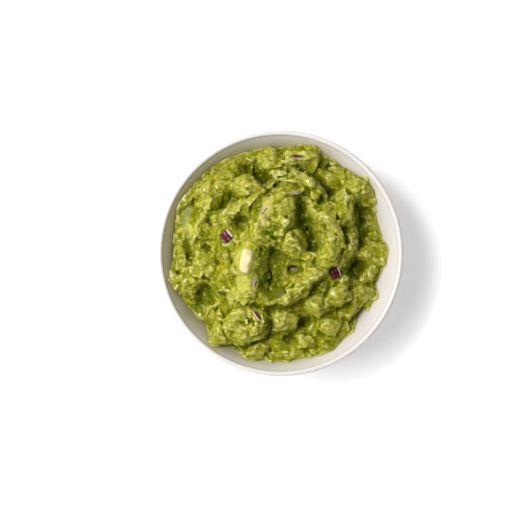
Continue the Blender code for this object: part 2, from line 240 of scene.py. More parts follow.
RELIEF = (
    # dome over the middle, with a lip to the north
    Lump(-0.5, 18.5, 18, 14, 70, 5.0),
    Fold(((-15, 14), (-13, 22), (-9, 28), (-1, 32.5), (9.5, 32.3), (16, 30), (20, 26.5)), 2.2, 2.4, 9, 5),
    # deep hole east of the dome, with the steep side that leads into it
    Fold(((2, 9.5), (5.5, 13), (7.2, 17), (7.8, 21), (10, 27)), 3.5, 4.0, 8, 6, 0.8),
    Roll(((8.8, 24), (10.5, 18), (12.5, 11), (14.8, 4.5)), 3.9, -7.5),
    Lump(18, 23, 3.5, 3.5, 0, -4.0),
    Lump(7, 5, 8, 6, 40, 4.2),
    # ring that runs round the hole and the basin
    Roll(((15, 20), (20, 16.5), (24, 11), (24.5, 4), (22.5, -3), (15.5, -10.5), (7, -17), (2, -20)), 4.6, 5.6),
    Fold(((26.6, -3), (28, 2), (28.3, 8), (26.5, 15)), 2.0, 5.0, 3, 3.5, 0.8),
    # flap beyond the ring, and the shaded valley at the right
    Fold(((31, -15), (32, -6), (35.5, 1), (36.5, 7), (35.8, 14), (34.2, 21), (32, 27)), 4.5, 8.5, 4, 10, 0.9),
    Lump(35.5, -6.5, 7, 6, -30, -5.0),
    # bank at the upper right, climbing the wall
    Lump(31, 32, 12, 7, -35, 3.2),
    Lump(44, 27, 6, 8, 20, 2.0),
    Fold(((16.5, 39.5), (18, 43.5), (17.5, 48)), 2.0, 4.5, 4, 4),
    Fold(((24, 24.5), (20, 31), (14.5, 35.5), (8, 38.5)), 1.5, 5.5, 5, 6),
    # lobes and notches along the top
    Fold(((-8, 30.5), (-11.5, 34), (-12.5, 38.5)), 1.5, 7.0, 4, 7),
    Lump(-15, 41, 5, 3.5, 0, -3.0),
    Roll(((-16, 38.5), (-8.5, 36.5), (-2, 33)), 3.0, -4.5),
    Lump(-16.0, 31.5, 8, 5.2, 20, 5.5),
    Lump(-5, 44, 6, 4.5, 0, 3.0),
    Lump(8, 45, 9, 4, 0, 3.2),
    # upper left slope and the finger that runs down it
    Lump(-31, 30, 12, 7.5, 45, 4.0),
    Lump(-26, 24.8, 6.5, 3, 35, -3.6),
    Roll(((-11, 27), (-18.5, 21.5), (-26, 15)), 3.2, 3.5),
    Lump(-18, 14.5, 3.2, 3, 45, -5.0),
    # creases and ridges beside the left wall
    Roll(((-38.5, 26.7), (-41.7, 23.5), (-45.7, 18.7)), 1.2, -2.5),
    Roll(((-31.3, 23.5), (-35.3, 18.7), (-38.5, 12.3), (-41.7, 5.8)), 2.4, 3.0),
    Roll(((-43.5, 9), (-43.8, 3), (-42.5, -3)), 1.4, -3.0),
    Lump(-47, 1, 4.5, 8, 0, 2.2),
    Lump(-37, -5, 7, 7, 0, 2.6),
    # shoulder that carries the avocado chunk, and the basin right of it
    Roll(((-12, 9), (-13.5, 1), (-15, -8), (-15.5, -17)), 6.0, 3.0),
    Fold(((-3, -24), (-4.8, -19), (-5.8, -12), (-5.8, -5), (-5, 1), (-3, 6)), 3.0, 12.0, 6, 12, 4.2),
    Lump(5.5, -7, 3, 3, 0, -3.0),
    # long fold that lies over the lower lobes
    Fold(((-9, -23.5), (-0.8, -24), (7.2, -22.4), (12.5, -18.8), (15, -14), (18.5, -11), (24, -8.6)),
         1.5, 4.2, 5, 5, 0.6),
    Lump(-15.5, -33, 11, 9, 0, 7.0),
    Lump(1.5, -30.5, 7, 4.8, 0, 5.0),
    Fold(((-31, -42.2), (-22.5, -43.5), (-12.8, -42), (-4.8, -38), (1.6, -36), (8.8, -34.4), (12.5, -31)),
         2.2, 3.6, 6, 4),
    Lump(-5.5, -35, 3.2, 4.5, 0, -4.5),
    Lump(11.4, -31.6, 4.5, 3.5, 0, -6.0),
    Lump(5, -40.5, 3.5, 3.5, 0, -4.5),
    # lower right
    Lump(27.5, -20, 6, 5.5, 0, 5.5),
    Lump(18, -24, 6.5, 5.5, 0, 5.2),
    Lump(24, -34.5, 5, 4.2, 30, 4.5),
    Fold(((32.5, -33), (36, -28.5), (40, -24)), 2.2, 3.4, 5, 3),
    Lump(42, -10.2, 5.5, 3.4, 40, 3.5),
    Lump(38.5, -1, 4.5, 3.6, 0, 2.4),
    # lower shelf and left foot of the heap
    Lump(10, -41, 5, 4, 0, 3.2),
    Lump(-11, -46, 5, 4, 30, 2.4),
    Fold(((-38, -25), (-39, -19), (-37, -12.5)), 2.5, 4.0, 4, 7, 1.0),
    Lump(-39.5, -26, 4, 4, 0, -3.5),
    Lump(-33.5, -19, 6, 5, 0, -3.6),
    Lump(-29, -32, 3.6, 6, 20, 2.2),
)


@dataclass(frozen=True)
class Patch:
    """An oval area in which the paste has another tone."""

    x: float
    y: float
    long: float
    short: float
    turn: float

    def share(self, x: np.ndarray, y: np.ndarray) -> np.ndarray:
        """How far each point has that tone, fading out past the edge."""
        c, s = cos(radians(self.turn)), sin(radians(self.turn))
        along = ((x - self.x) * c + (y - self.y) * s) / self.long
        across = ((y - self.y) * c - (x - self.x) * s) / self.short
        return np.exp(-0.7 * (along ** 2 + across ** 2) ** 1.6)


# Painted shade as dark olive ovals where the basin, the hole and the valleys lie in shadow, smooth pale lumps, pinkish
# flesh, and a grey green smear
PATCHES = {
    "shaded": (Patch(-5.5, -9, 14, 7, 100), Patch(10.5, 16, 8, 4.5, 110), Patch(37.5, 15, 11, 4, 95),
               Patch(35, -6.5, 5.5, 5, 0), Patch(-9, 36.5, 6, 3, -20), Patch(-36, -21, 6, 4, 60),
               Patch(-25, 25.5, 5, 2.4, 35), Patch(18.5, 32.5, 7, 2.5, -55)),
    "smooth": (Patch(-17.3, -14, 4.6, 3.4, 100), Patch(-22, -20, 4, 3, 60), Patch(-44, 10.5, 3, 4, 0),
               Patch(-6, 24, 4, 2.6, 70)),
    "blush": (Patch(-7.3, 19.3, 4.2, 2.6, 62), Patch(-7.5, 15.0, 3.0, 1.8, 70)),
    "smeared": (Patch(-44, 18, 5.0, 2.4, 65),),
}


@dataclass(frozen=True)
class Dish:
    """Section of the bowl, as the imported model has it."""

    height: float = 44.0
    radius: float = 57.5
    lip: float = 1.25
    floor_thickness: float = 3.8
    floor_level: float = 6.0
    flat_radius: float = 22.0
    shoulder: tuple = (48.0, 32.0)
    belly: tuple = (41.0, 6.0)
    foot_outer: float = 30.5
    foot_inner: float = 26.5
    foot_rounding: float = 0.8

    def wall(self, inset: float | np.ndarray = 0.0, steps: int = 40) -> np.ndarray:
        """Points (radius, height) of the inside from lip to floor, moved inwards by inset."""
        t = np.linspace(0, 1, steps + 1)[:, None]
        a = np.array((self.radius - 2 * self.lip, self.height - self.lip))
        b, c = np.array(self.shoulder), np.array(self.belly)
        d = np.array((self.flat_radius, self.floor_level))
        points = a * (1 - t) ** 3 + 3 * b * (1 - t) ** 2 * t + 3 * c * (1 - t) * t ** 2 + d * t ** 3
        slope = (b - a) * (1 - t) ** 2 + 2 * (c - b) * (1 - t) * t + (d - c) * t ** 2
        inward = np.stack([slope[:, 1], -slope[:, 0]], axis=1)
        inward /= np.linalg.norm(inward, axis=1)[:, None]
        return points + inward * np.reshape(inset, (-1, 1))

    def inner_radius(self, z: np.ndarray, inset: float = 0.0) -> np.ndarray:
        """Radius of the inside at a height."""
        wall = self.wall(inset)
        return np.interp(-z, -wall[:, 1], wall[:, 0])


# How the edge of the heap rises and falls along the wall: direction, spread in degrees, rise
EDGE_SWELLS = (
    (14, 13, -3.3), (37, 8, 4.6), (52, 6, -2.4), (72, 8, 3.0), (100, 15, -1.6), (124, 8, 1.2), (152, 13, 3.2),
    (195, 8, 4.2), (206, 5, -2.0), (222, 6, -3.4), (234, 5, 4.6), (258, 12, 1.2), (310, 10, -1.2),
    (323, 7, -4.6), (345, 8, -4.8), (0, 9, 2.2), (178, 18, -1.8),
)


@dataclass
class Mash:
    """The heap of mashed avocado, made as a solid in a grid of cells and turned into a mesh."""

    dish: Dish
    edge_level: float = 36.6
    crown_rise: float = 13.0
    crown_power: float = 1.8
    swell_power: float = 3.0
    cell: float = 0.42
    cut_level: float = 28.5
    top_level: float = 60.0
    band: float = 3.0
    warp_reach: float = 2.4
    clearance: float = 0.3
    most_triangles: int = 190_000
    seats: Sequence["Seat"] = ()

    def edge(self, direction: np.ndarray) -> np.ndarray:
        """Height at which the heap meets the wall, in each direction."""
        level = np.full(direction.shape, self.edge_level)
        for degrees, spread, rise in EDGE_SWELLS:
            turn = (direction - radians(degrees) + pi) % (2 * pi) - pi
            level = level + rise * np.exp(-(turn / radians(spread)) ** 2)
        return level

    def base(self, x: np.ndarray, y: np.ndarray) -> np.ndarray:
        """Height of the smooth heap."""
        level = self.edge(np.arctan2(y, x))
        radius = np.hypot(x, y)
        reach = self.dish.inner_radius(level, self.clearance)
        q = np.clip(radius / reach, 0, 1.1)
        swell = (level - self.edge_level) * q ** self.swell_power
        return self.edge_level + swell + self.crown_rise * (1 - q ** self.crown_power)

    def relief(self, x: np.ndarray, y: np.ndarray) -> np.ndarray:
        """Height that the listed lumps, rolls and folds add."""
        radius = np.hypot(x, y)
        fade = np.clip((52.5 - radius) / 4, 0, 1)
        return sum(feature.lift(x, y) for feature in RELIEF) * fade * (2 - fade)

    def smooth_heap(self) -> tuple[np.ndarray, np.ndarray]:
        """Heights of the heap on the grid without its fine relief, and how far each topping calms it."""
        xs, ys, _ = self.grid()
        x, y = np.meshgrid(xs, ys, indexing="ij")
        heap, calm = self.base(x, y) + self.relief(x, y), np.zeros(x.shape)
        for patch in PATCHES["smooth"] + PATCHES["smeared"]:
            calm = np.maximum(calm, 0.7 * patch.share(x, y))
        for seat in self.seats:
            share = seat.hold(x, y)
            heap = heap + share * (seat.plane(x, y) - heap)
            calm = np.maximum(calm, share)
        return heap, calm

    def grid(self) -> tuple[np.ndarray, np.ndarray, np.ndarray]:
        """Grid lines along X, Y and Z."""
        reach = self.dish.radius - 3
        across = np.arange(-reach, reach + self.cell, self.cell)
        return across, across.copy(), np.arange(self.cut_level, self.top_level, self.cell)

    def field(self) -> np.ndarray:
        """How far inside the mash each grid point is: positive inside, negative outside."""
        xs, ys, zs = self.grid()
        flat_x, flat_y = np.meshgrid(xs, ys, indexing="ij")
        smooth, calm = self.smooth_heap()
        depth = smooth[:, :, None] - zs
        reach = round(self.warp_reach / self.cell)
        lowest, highest = extreme(smooth, reach, np.minimum), extreme(smooth, reach, np.maximum)
        near = (zs > lowest[:, :, None] - self.band) & (zs < highest[:, :, None] + self.band)
        i, j, k = np.nonzero(near)
        points = np.stack([xs[i], ys[j], zs[k]], axis=1)
        height = sample(smooth, xs, points[:, :2] + self.warp(points))
        rough = self.detail(points) * (1 - 0.85 * calm[i, j])
        depth[near] = height - points[:, 2] + rough
        radius = np.hypot(flat_x, flat_y)[:, :, None]
        room = self.dish.inner_radius(zs, self.clearance)[None, None, :] - radius
        return np.minimum(depth, room)

    def warp(self, points: np.ndarray) -> np.ndarray:
        """Sideways shift that makes the edges of lumps and folds ragged."""
        return np.stack([
            1.7 * Noise(6.0, seed).gradient(points) + 0.8 * Noise(2.6, seed + 10).gradient(points)
            for seed in (1, 2)
        ], axis=1)

    def detail(self, points: np.ndarray) -> np.ndarray:
        """Height that lumps, strands and waves add at points near the surface."""
        bent = points.copy()
        bent[:, :2] += 0.8 * self.warp(points)
        coarse = 0.8 - 2.6 * Noise(6.2, 21).grains(bent * (1, 1, 0.8))
        middle = 0.9 - 3.0 * Noise(3.6, 22).grains(bent, 7.0)
        fine = 0.22 - 0.75 * Noise(1.8, 23).grains(points)
        waves = 1.5 * Noise(9.0, 30).gradient(points) + 0.6 * Noise(4.2, 31).gradient(points)
        round_about = np.stack([np.hypot(bent[:, 0], bent[:, 1]), 11 * np.arctan2(bent[:, 1], bent[:, 0]),
                                bent[:, 2]], axis=1)
        strands = 0.35 - 0.9 * np.sqrt(Noise(3.4, 33).gradient(round_about) ** 2 + 0.02)
        calm = np.clip(0.5 + 1.9 * Noise(10.0, 35).gradient(points), 0, 1)
        return coarse + (0.45 + 0.65 * calm) * middle + (0.2 + calm) * fine + waves + strands

    def build(self, material: bpy.types.Material) -> bpy.types.Object:
        """The mash as one closed piece."""
        xs, ys, zs = self.grid()
        corner = (xs[0], ys[0], zs[0])
        solid = self.field()
        points, quads = largest_body(*surface_cells(solid, corner, self.cell))
        points, quads, tris = self.close_below(points, quads)
        piece = mesh_object("mash", points, quads.tolist() + tris.tolist(), material)
        thin_out(piece, self.most_triangles)
        points = corners_of(piece)
        places = (points - corner) / self.cell
        # How much solid lies around each point; the mash material paints shade into creases and hollows and light onto
        # ridges from these.
        for name, size in (("hollow_fine", 1.0), ("hollow_wide", 3.4)):
            set_values(piece, name, fullness(solid > 0, places, round(size / self.cell)))
        # How far each point sinks below the softened heap; the mash material paints shade into basins and light onto
        # crowns from it.
        heap, _ = self.smooth_heap()
        sunk = soften(heap, round(5.0 / self.cell)) - heap
        set_values(piece, "hollow_broad", sample(sunk, xs, points[:, :2]) / 10 + 0.5)
        # Oval tone patches; the shaded ones carry painted shade.
        for name, patches in PATCHES.items():
            shares = [patch.share(points[:, 0], points[:, 1]) for patch in patches]
            set_values(piece, name, np.max(shares, axis=0))
        return piece

    def close_below(self, points: np.ndarray, quads: np.ndarray) -> tuple[np.ndarray, np.ndarray, np.ndarray]:
        """Carry the open edge down the inside of the bowl and close it at the floor."""
        edges = np.vstack([quads[:, (k, (k + 1) % 4)] for k in range(4)])
        key = np.sort(edges, axis=1)
        _, first, count = np.unique(key, axis=0, return_index=True, return_counts=True)
        rim = edges[first[count == 1]]
        corner = np.unique(rim)
        number = np.full(len(points), -1)
        number[corner] = np.arange(len(corner))
        start = points[corner]
        direction = np.arctan2(start[:, 1], start[:, 0])
        wall = self.dish.wall(self.clearance)
        wall = wall[wall[:, 1] < self.cut_level - 0.5][::4]
        rings = [(r, z) for r, z in wall] + [(wall[-1, 0] * 0.5, wall[-1, 1])]
        sheets, bands = [points], [quads]
        last, total = corner, len(points)
        a, b = number[rim[:, 0]], number[rim[:, 1]]
        for radius, level in rings:
            sheets.append(np.stack([radius * np.cos(direction), radius * np.sin(direction),
                                    np.full(len(corner), level)], axis=1))
            new = np.arange(total, total + len(corner))
            bands.append(np.stack([last[b], last[a], new[a], new[b]], axis=1))
            last, total = new, total + len(corner)
        sheets.append(np.array([[0, 0, rings[-1][1]]]))
        fan = np.stack([last[b], last[a], np.full(len(a), total)], axis=1)
        return np.vstack(sheets), np.vstack(bands), fan


def extreme(values: np.ndarray, reach: int, pick: Callable) -> np.ndarray:
    """Lowest or highest value within a reach of each cell of a grid."""
    for axis in (0, 1):
        best = values
        for step in range(1, reach + 1):
            best = pick(best, pick(np.roll(values, step, axis), np.roll(values, -step, axis)))
        values = best
    return values


def soften(values: np.ndarray, reach: int) -> np.ndarray:
    """Mean of a grid's values over squares of a reach, taken twice."""
    kernel = np.ones(2 * reach + 1) / (2 * reach + 1)
    for axis in (0, 1, 0, 1):
        padded = np.pad(values, [(reach, reach) if a == axis else (0, 0) for a in (0, 1)], mode="edge")
        values = np.apply_along_axis(np.convolve, axis, padded, kernel, "valid")
    return values


def sample(values: np.ndarray, lines: np.ndarray, places: np.ndarray) -> np.ndarray:
    """Read a table of heights between its grid points."""
    step = lines[1] - lines[0]
    at = np.clip((places - lines[0]) / step, 0, len(lines) - 1.001)
    low = at.astype(int)
    fx, fy = (at - low).T
    i, j = low.T
    return ((values[i, j] * (1 - fx) + values[i + 1, j] * fx) * (1 - fy)
            + (values[i, j + 1] * (1 - fx) + values[i + 1, j + 1] * fx) * fy)


def surface_cells(values: np.ndarray, start: Sequence[float], cell: float) -> tuple[np.ndarray, np.ndarray]:
    """Mesh the surface on which a grid of values passes through zero.

    Args:
        values: Positive inside, negative outside.
        start: Place of the first grid point.
        cell: Grid spacing.

    Returns:
        Points, and four-sided faces that look outwards.
    """
    inside = values > 0
    shape = tuple(n - 1 for n in values.shape)
    total = np.zeros(shape, np.int8)
    corners = list(np.ndindex(2, 2, 2))
    for corner in corners:
        total += inside[tuple(slice(c, n + c) for c, n in zip(corner, shape))]
    cells = np.argwhere((total > 0) & (total < 8))
    number = np.full(shape, -1, np.int32)
    number[tuple(cells.T)] = np.arange(len(cells))
    at = [values[tuple((cells + corner).T)] for corner in corners]
    sums, hits = np.zeros((len(cells), 3)), np.zeros(len(cells))
    for a, first in enumerate(corners):
        for b, second in enumerate(corners):
            if b <= a or sum(abs(p - q) for p, q in zip(first, second)) != 1:
                continue
            crossed = (at[a] > 0) != (at[b] > 0)
            share = np.where(crossed, at[a] / np.where(crossed, at[a] - at[b], 1), 0)
            spot = np.array(first) + np.subtract(second, first) * share[:, None]
            sums += spot * crossed[:, None]
            hits += crossed
    points = (cells + sums / hits[:, None]) * cell + start
    faces = []
    for axis in range(3):
        one, two = [k for k in range(3) if k != axis]
        low = inside[tuple(slice(0, -1) if k == axis else slice(None) for k in range(3))]
        high = inside[tuple(slice(1, None) if k == axis else slice(None) for k in range(3))]
        spans = np.argwhere(low != high)
        kept = np.all([(spans[:, k] > 0) & (spans[:, k] < shape[k]) for k in (one, two)], axis=0)
        spans = spans[kept]
        quad = []
        for back in ((1, 1), (0, 1), (0, 0), (1, 0)):
            spot = spans.copy()
            spot[:, one] -= back[0]
            spot[:, two] -= back[1]
            quad.append(number[tuple(spot.T)])
        quad = np.stack(quad, axis=1)
        outward = low[tuple(spans.T)] ^ (axis == 1)
        quad[~outward] = quad[~outward][:, ::-1]
        faces.append(quad)
    return points, np.vstack(faces)


def largest_body(points: np.ndarray, quads: np.ndarray) -> tuple[np.ndarray, np.ndarray]:
    """Drop loose bits, keeping the faces joined to the largest body."""
    label = np.arange(len(points))
    while True:
        lowest = label[quads].min(axis=1)
        before = label.copy()
        for k in range(4):
            np.minimum.at(label, quads[:, k], lowest)
        label = label[label]
        if np.array_equal(before, label):
            break
    names, counts = np.unique(label, return_counts=True)
    keep = label == names[counts.argmax()]
    number = np.cumsum(keep) - 1
    return points[keep], number[quads[keep[quads[:, 0]]]]


def fullness(inside: np.ndarray, places: np.ndarray, reach: int) -> np.ndarray:
    """Share of solid in a cube around each place: over a half in hollows, under it on ridges."""
    sums = np.pad(inside.astype(np.int32), ((1, 0),) * 3)
    for axis in range(3):
        sums = sums.cumsum(axis)
    middle = np.round(places).astype(int)
    low = [np.clip(middle[:, k] - reach, 0, inside.shape[k]) for k in range(3)]
    high = [np.clip(middle[:, k] + reach + 1, 0, inside.shape[k]) for k in range(3)]
    total = np.zeros(len(places))
    for pick in np.ndindex(2, 2, 2):
        spot = tuple(high[k] if pick[k] else low[k] for k in range(3))
        total += (-1) ** (3 - sum(pick)) * sums[spot]
    room = np.prod([high[k] - low[k] for k in range(3)], axis=0)
    return (total / np.maximum(room, 1)).astype(np.float32)


def mesh_object(name: str, points: np.ndarray, faces: Sequence, material: bpy.types.Material) -> bpy.types.Object:
    """A smooth-shaded object from points in millimetres."""
    mesh = bpy.data.meshes.new(name)
    mesh.from_pydata((np.asarray(points) * MM).tolist(), [], faces)
    mesh.materials.append(material)
    mesh.shade_smooth()
    piece = bpy.data.objects.new(name, mesh)
    bpy.context.collection.objects.link(piece)
    return piece


# ---------------------------------------------------------------- node trees and finishes


@dataclass
class Tree:
    """Adds nodes to a node tree and wires them."""

    tree: bpy.types.NodeTree

    def add(self, kind: str, inputs: dict | None = None, **settings: object) -> bpy.types.Node:
        """Add a node.

        Args:
            kind: Blender's name for the node.
            inputs: Values or sockets for its inputs, by name or number.
            settings: Its other properties.

        Returns:
            The node.
        """
        node = self.tree.nodes.new(kind)
        for name, value in settings.items():
            setattr(node, name, value)
        for socket, value in (inputs or {}).items():
            self.feed(node.inputs[socket], value)
        return node

    def feed(self, socket: bpy.types.NodeSocket, value: object) -> None:
        """Link a socket to an input, or set the input's value."""
        if isinstance(value, bpy.types.NodeSocket):
            self.tree.links.new(value, socket)
        else:
            socket.default_value = value

    def mix(self, share: object, a: object, b: object, blend: str = "MIX") -> bpy.types.NodeSocket:
        """Mix two colours."""
        node = self.add("ShaderNodeMix", data_type="RGBA", blend_type=blend)
        for socket, value in ((node.inputs[0], share), (node.inputs[6], a), (node.inputs[7], b)):
            self.feed(socket, value)
        return node.outputs[2]

    def math(self, operation: str, *values: object) -> bpy.types.NodeSocket:
        """One sum on numbers."""
        return self.add("ShaderNodeMath", dict(enumerate(values)), operation=operation).outputs[0]

    def spread(self, value: object, low: float, high: float, to_low: float = 0, to_high: float = 1):
        """Stretch a range of values to another, held at its ends."""
        inputs = {"Value": value, "From Min": low, "From Max": high, "To Min": to_low, "To Max": to_high}
        return self.add("ShaderNodeMapRange", inputs, interpolation_type="SMOOTHSTEP").outputs[0]

    def noise(self, place: object, size: float, detail: float = 2, distortion: float = 0) -> bpy.types.NodeSocket:
        """Cloudy noise with features of a size in millimetres."""
        inputs = {"Vector": place, "Scale": 1 / (size * MM), "Detail": detail, "Distortion": distortion}
        return self.add("ShaderNodeTexNoise", inputs).outputs[0]


def rgb(red: int, green: int, blue: int) -> tuple[float, float, float, float]:
    """A colour given as 0 to 255 on a screen, as the values that shaders take."""
    parts = [part / 255 for part in (red, green, blue)]
    return tuple(p / 12.92 if p <= 0.04045 else ((p + 0.055) / 1.055) ** 2.4 for p in parts) + (1.0,)


def shader_group(name: str, inputs: dict[str, tuple[str, object]], outputs: dict[str, str]) -> tuple:
    """Start a shader group with named sockets.

    Args:
        name: Name of the group.
        inputs: Kind of socket and default value, by name.
        outputs: Kind of socket, by name.

    Returns:
        The group, its Tree, its input node and its output node.
    """
    group = bpy.data.node_groups.new(name, "ShaderNodeTree")
    for label, (kind, value) in inputs.items():
        socket = group.interface.new_socket(label, in_out="INPUT", socket_type=kind)
        socket.default_value = value
    for label, kind in outputs.items():
        group.interface.new_socket(label, in_out="OUTPUT", socket_type=kind)
    tree = Tree(group)
    return group, tree, tree.add("NodeGroupInput"), tree.add("NodeGroupOutput")


def wet_film_group() -> bpy.types.NodeTree:
    """Fine beaded relief of a moist surface, and how dull it is from place to place."""
    number = "NodeSocketFloat"
    group, tree, source, result = shader_group(
        "wet film",
        {"Bead Size": (number, 0.6), "Dull": (number, 0.5), "Shiny": (number, 0.2), "Seed": (number, 0.0)},
        {"Height": number, "Roughness": number},
    )
    place = tree.add("ShaderNodeTexCoord").outputs["Object"]
    scale = tree.math("DIVIDE", 1 / MM, source.outputs["Bead Size"])
    beads = tree.add("ShaderNodeTexNoise", {"Vector": place, "W": source.outputs["Seed"], "Scale": scale,
                                            "Detail": 3.0, "Roughness": 0.6}, noise_dimensions="4D").outputs[0]
    cells = tree.add("ShaderNodeTexVoronoi", {"Vector": place, "Scale": tree.math("MULTIPLY", scale, 0.6)},
                     feature="SMOOTH_F1").outputs["Distance"]
    height = tree.math("SUBTRACT", beads, tree.math("MULTIPLY", cells, 0.5))
    patches = tree.noise(place, 3.5, 2)
    share = tree.spread(patches, 0.35, 0.65)
    wide = tree.math("SUBTRACT", source.outputs["Dull"], source.outputs["Shiny"])
    dull = tree.math("MULTIPLY_ADD", share, wide, source.outputs["Shiny"])
    tree.feed(result.inputs["Height"], height)
    tree.feed(result.inputs["Roughness"], dull)
    return group


def strands_group() -> bpy.types.NodeTree:
    """Noise drawn out round the middle of the bowl, like the strands that a spoon leaves."""
    number = "NodeSocketFloat"
    group, tree, source, result = shader_group(
        "swirled strands", {"Width": (number, 1.0), "Length": (number, 4.0)}, {"Value": number})
    place = tree.add("ShaderNodeTexCoord").outputs["Object"]
    bend = tree.add("ShaderNodeTexNoise", {"Vector": place, "Scale": 1 / (6 * MM), "Detail": 2.0}).outputs["Color"]
    shift = tree.add("ShaderNodeVectorMath", {0: bend, 1: (6 * MM,) * 3, 2: place}, operation="MULTIPLY_ADD")
    x, y, z = tree.add("ShaderNodeSeparateXYZ", {"Vector": shift.outputs[0]}).outputs
    far = tree.math("SQRT", tree.math("ADD", tree.math("MULTIPLY", x, x), tree.math("MULTIPLY", y, y)))
    turn = tree.math("MULTIPLY", tree.math("ARCTAN2", y, x), 30 * MM)
    parts = [tree.math("DIVIDE", tree.math("DIVIDE", value, MM), source.outputs[size])
             for value, size in ((far, "Width"), (turn, "Length"), (z, "Width"))]
    spot = tree.add("ShaderNodeCombineXYZ", dict(enumerate(parts))).outputs[0]
    cloud = tree.add("ShaderNodeTexNoise", {"Vector": spot, "Scale": 1.0, "Detail": 2.0}).outputs[0]
    tree.feed(result.inputs["Value"], cloud)
    return group


def tint_group() -> bpy.types.NodeTree:
    """Two tones mixed in soft uneven patches."""
    colour, number = "NodeSocketColor", "NodeSocketFloat"
    group, tree, source, result = shader_group(
        "tint patches",
        {"Tone A": (colour, (1, 1, 1, 1)), "Tone B": (colour, (0, 0, 0, 1)), "Size": (number, 4.0),
         "Seed": (number, 0.0), "Sharpness": (number, 0.15)},
        {"Color": colour, "Mask": number},
    )
    place = tree.add("ShaderNodeTexCoord").outputs["Object"]
    scale = tree.math("DIVIDE", 1 / MM, source.outputs["Size"])
    cloud = tree.add("ShaderNodeTexNoise", {"Vector": place, "W": source.outputs["Seed"], "Scale": scale,
                                            "Detail": 3.0, "Distortion": 0.6}, noise_dimensions="4D").outputs[0]
    low = tree.math("SUBTRACT", 0.5, source.outputs["Sharpness"])
    high = tree.math("ADD", 0.5, source.outputs["Sharpness"])
    mask = tree.add("ShaderNodeMapRange", {"Value": cloud, "From Min": low, "From Max": high}).outputs[0]
    tree.feed(result.inputs["Color"], tree.mix(mask, source.outputs["Tone A"], source.outputs["Tone B"]))
    tree.feed(result.inputs["Mask"], mask)
    return group


@dataclass
class Finish:
    """What every finish shares: a named material with a Principled shader."""

    name: str
    roughness: float = 0.4
    bump: float = 0.0
    bump_depth: float = 0.2

    def start(self) -> tuple[bpy.types.Material, Tree, bpy.types.Node]:
        """A new material, its tree and its shader."""
        material = bpy.data.materials.new(self.name)
        material.use_nodes = True
        shader = material.node_tree.nodes["Principled BSDF"]
        shader.inputs["Roughness"].default_value = self.roughness
        return material, Tree(material.node_tree), shader

    def group(self, tree: Tree, name: str, **values: object) -> bpy.types.Node:
        """Place a shared shader group and set its inputs."""
        node = tree.add("ShaderNodeGroup", node_tree=bpy.data.node_groups[name])
        for label, value in values.items():
            tree.feed(node.inputs[label.replace("_", " ").title()], value)
        return node

    def roughen(self, tree: Tree, shader: bpy.types.Node, height: bpy.types.NodeSocket) -> None:
        """Feed a height to the shader's normal through a bump."""
        bump = tree.add("ShaderNodeBump", {"Height": height, "Strength": self.bump,
                                           "Distance": self.bump_depth * MM})
        tree.feed(shader.inputs["Normal"], bump.outputs[0])


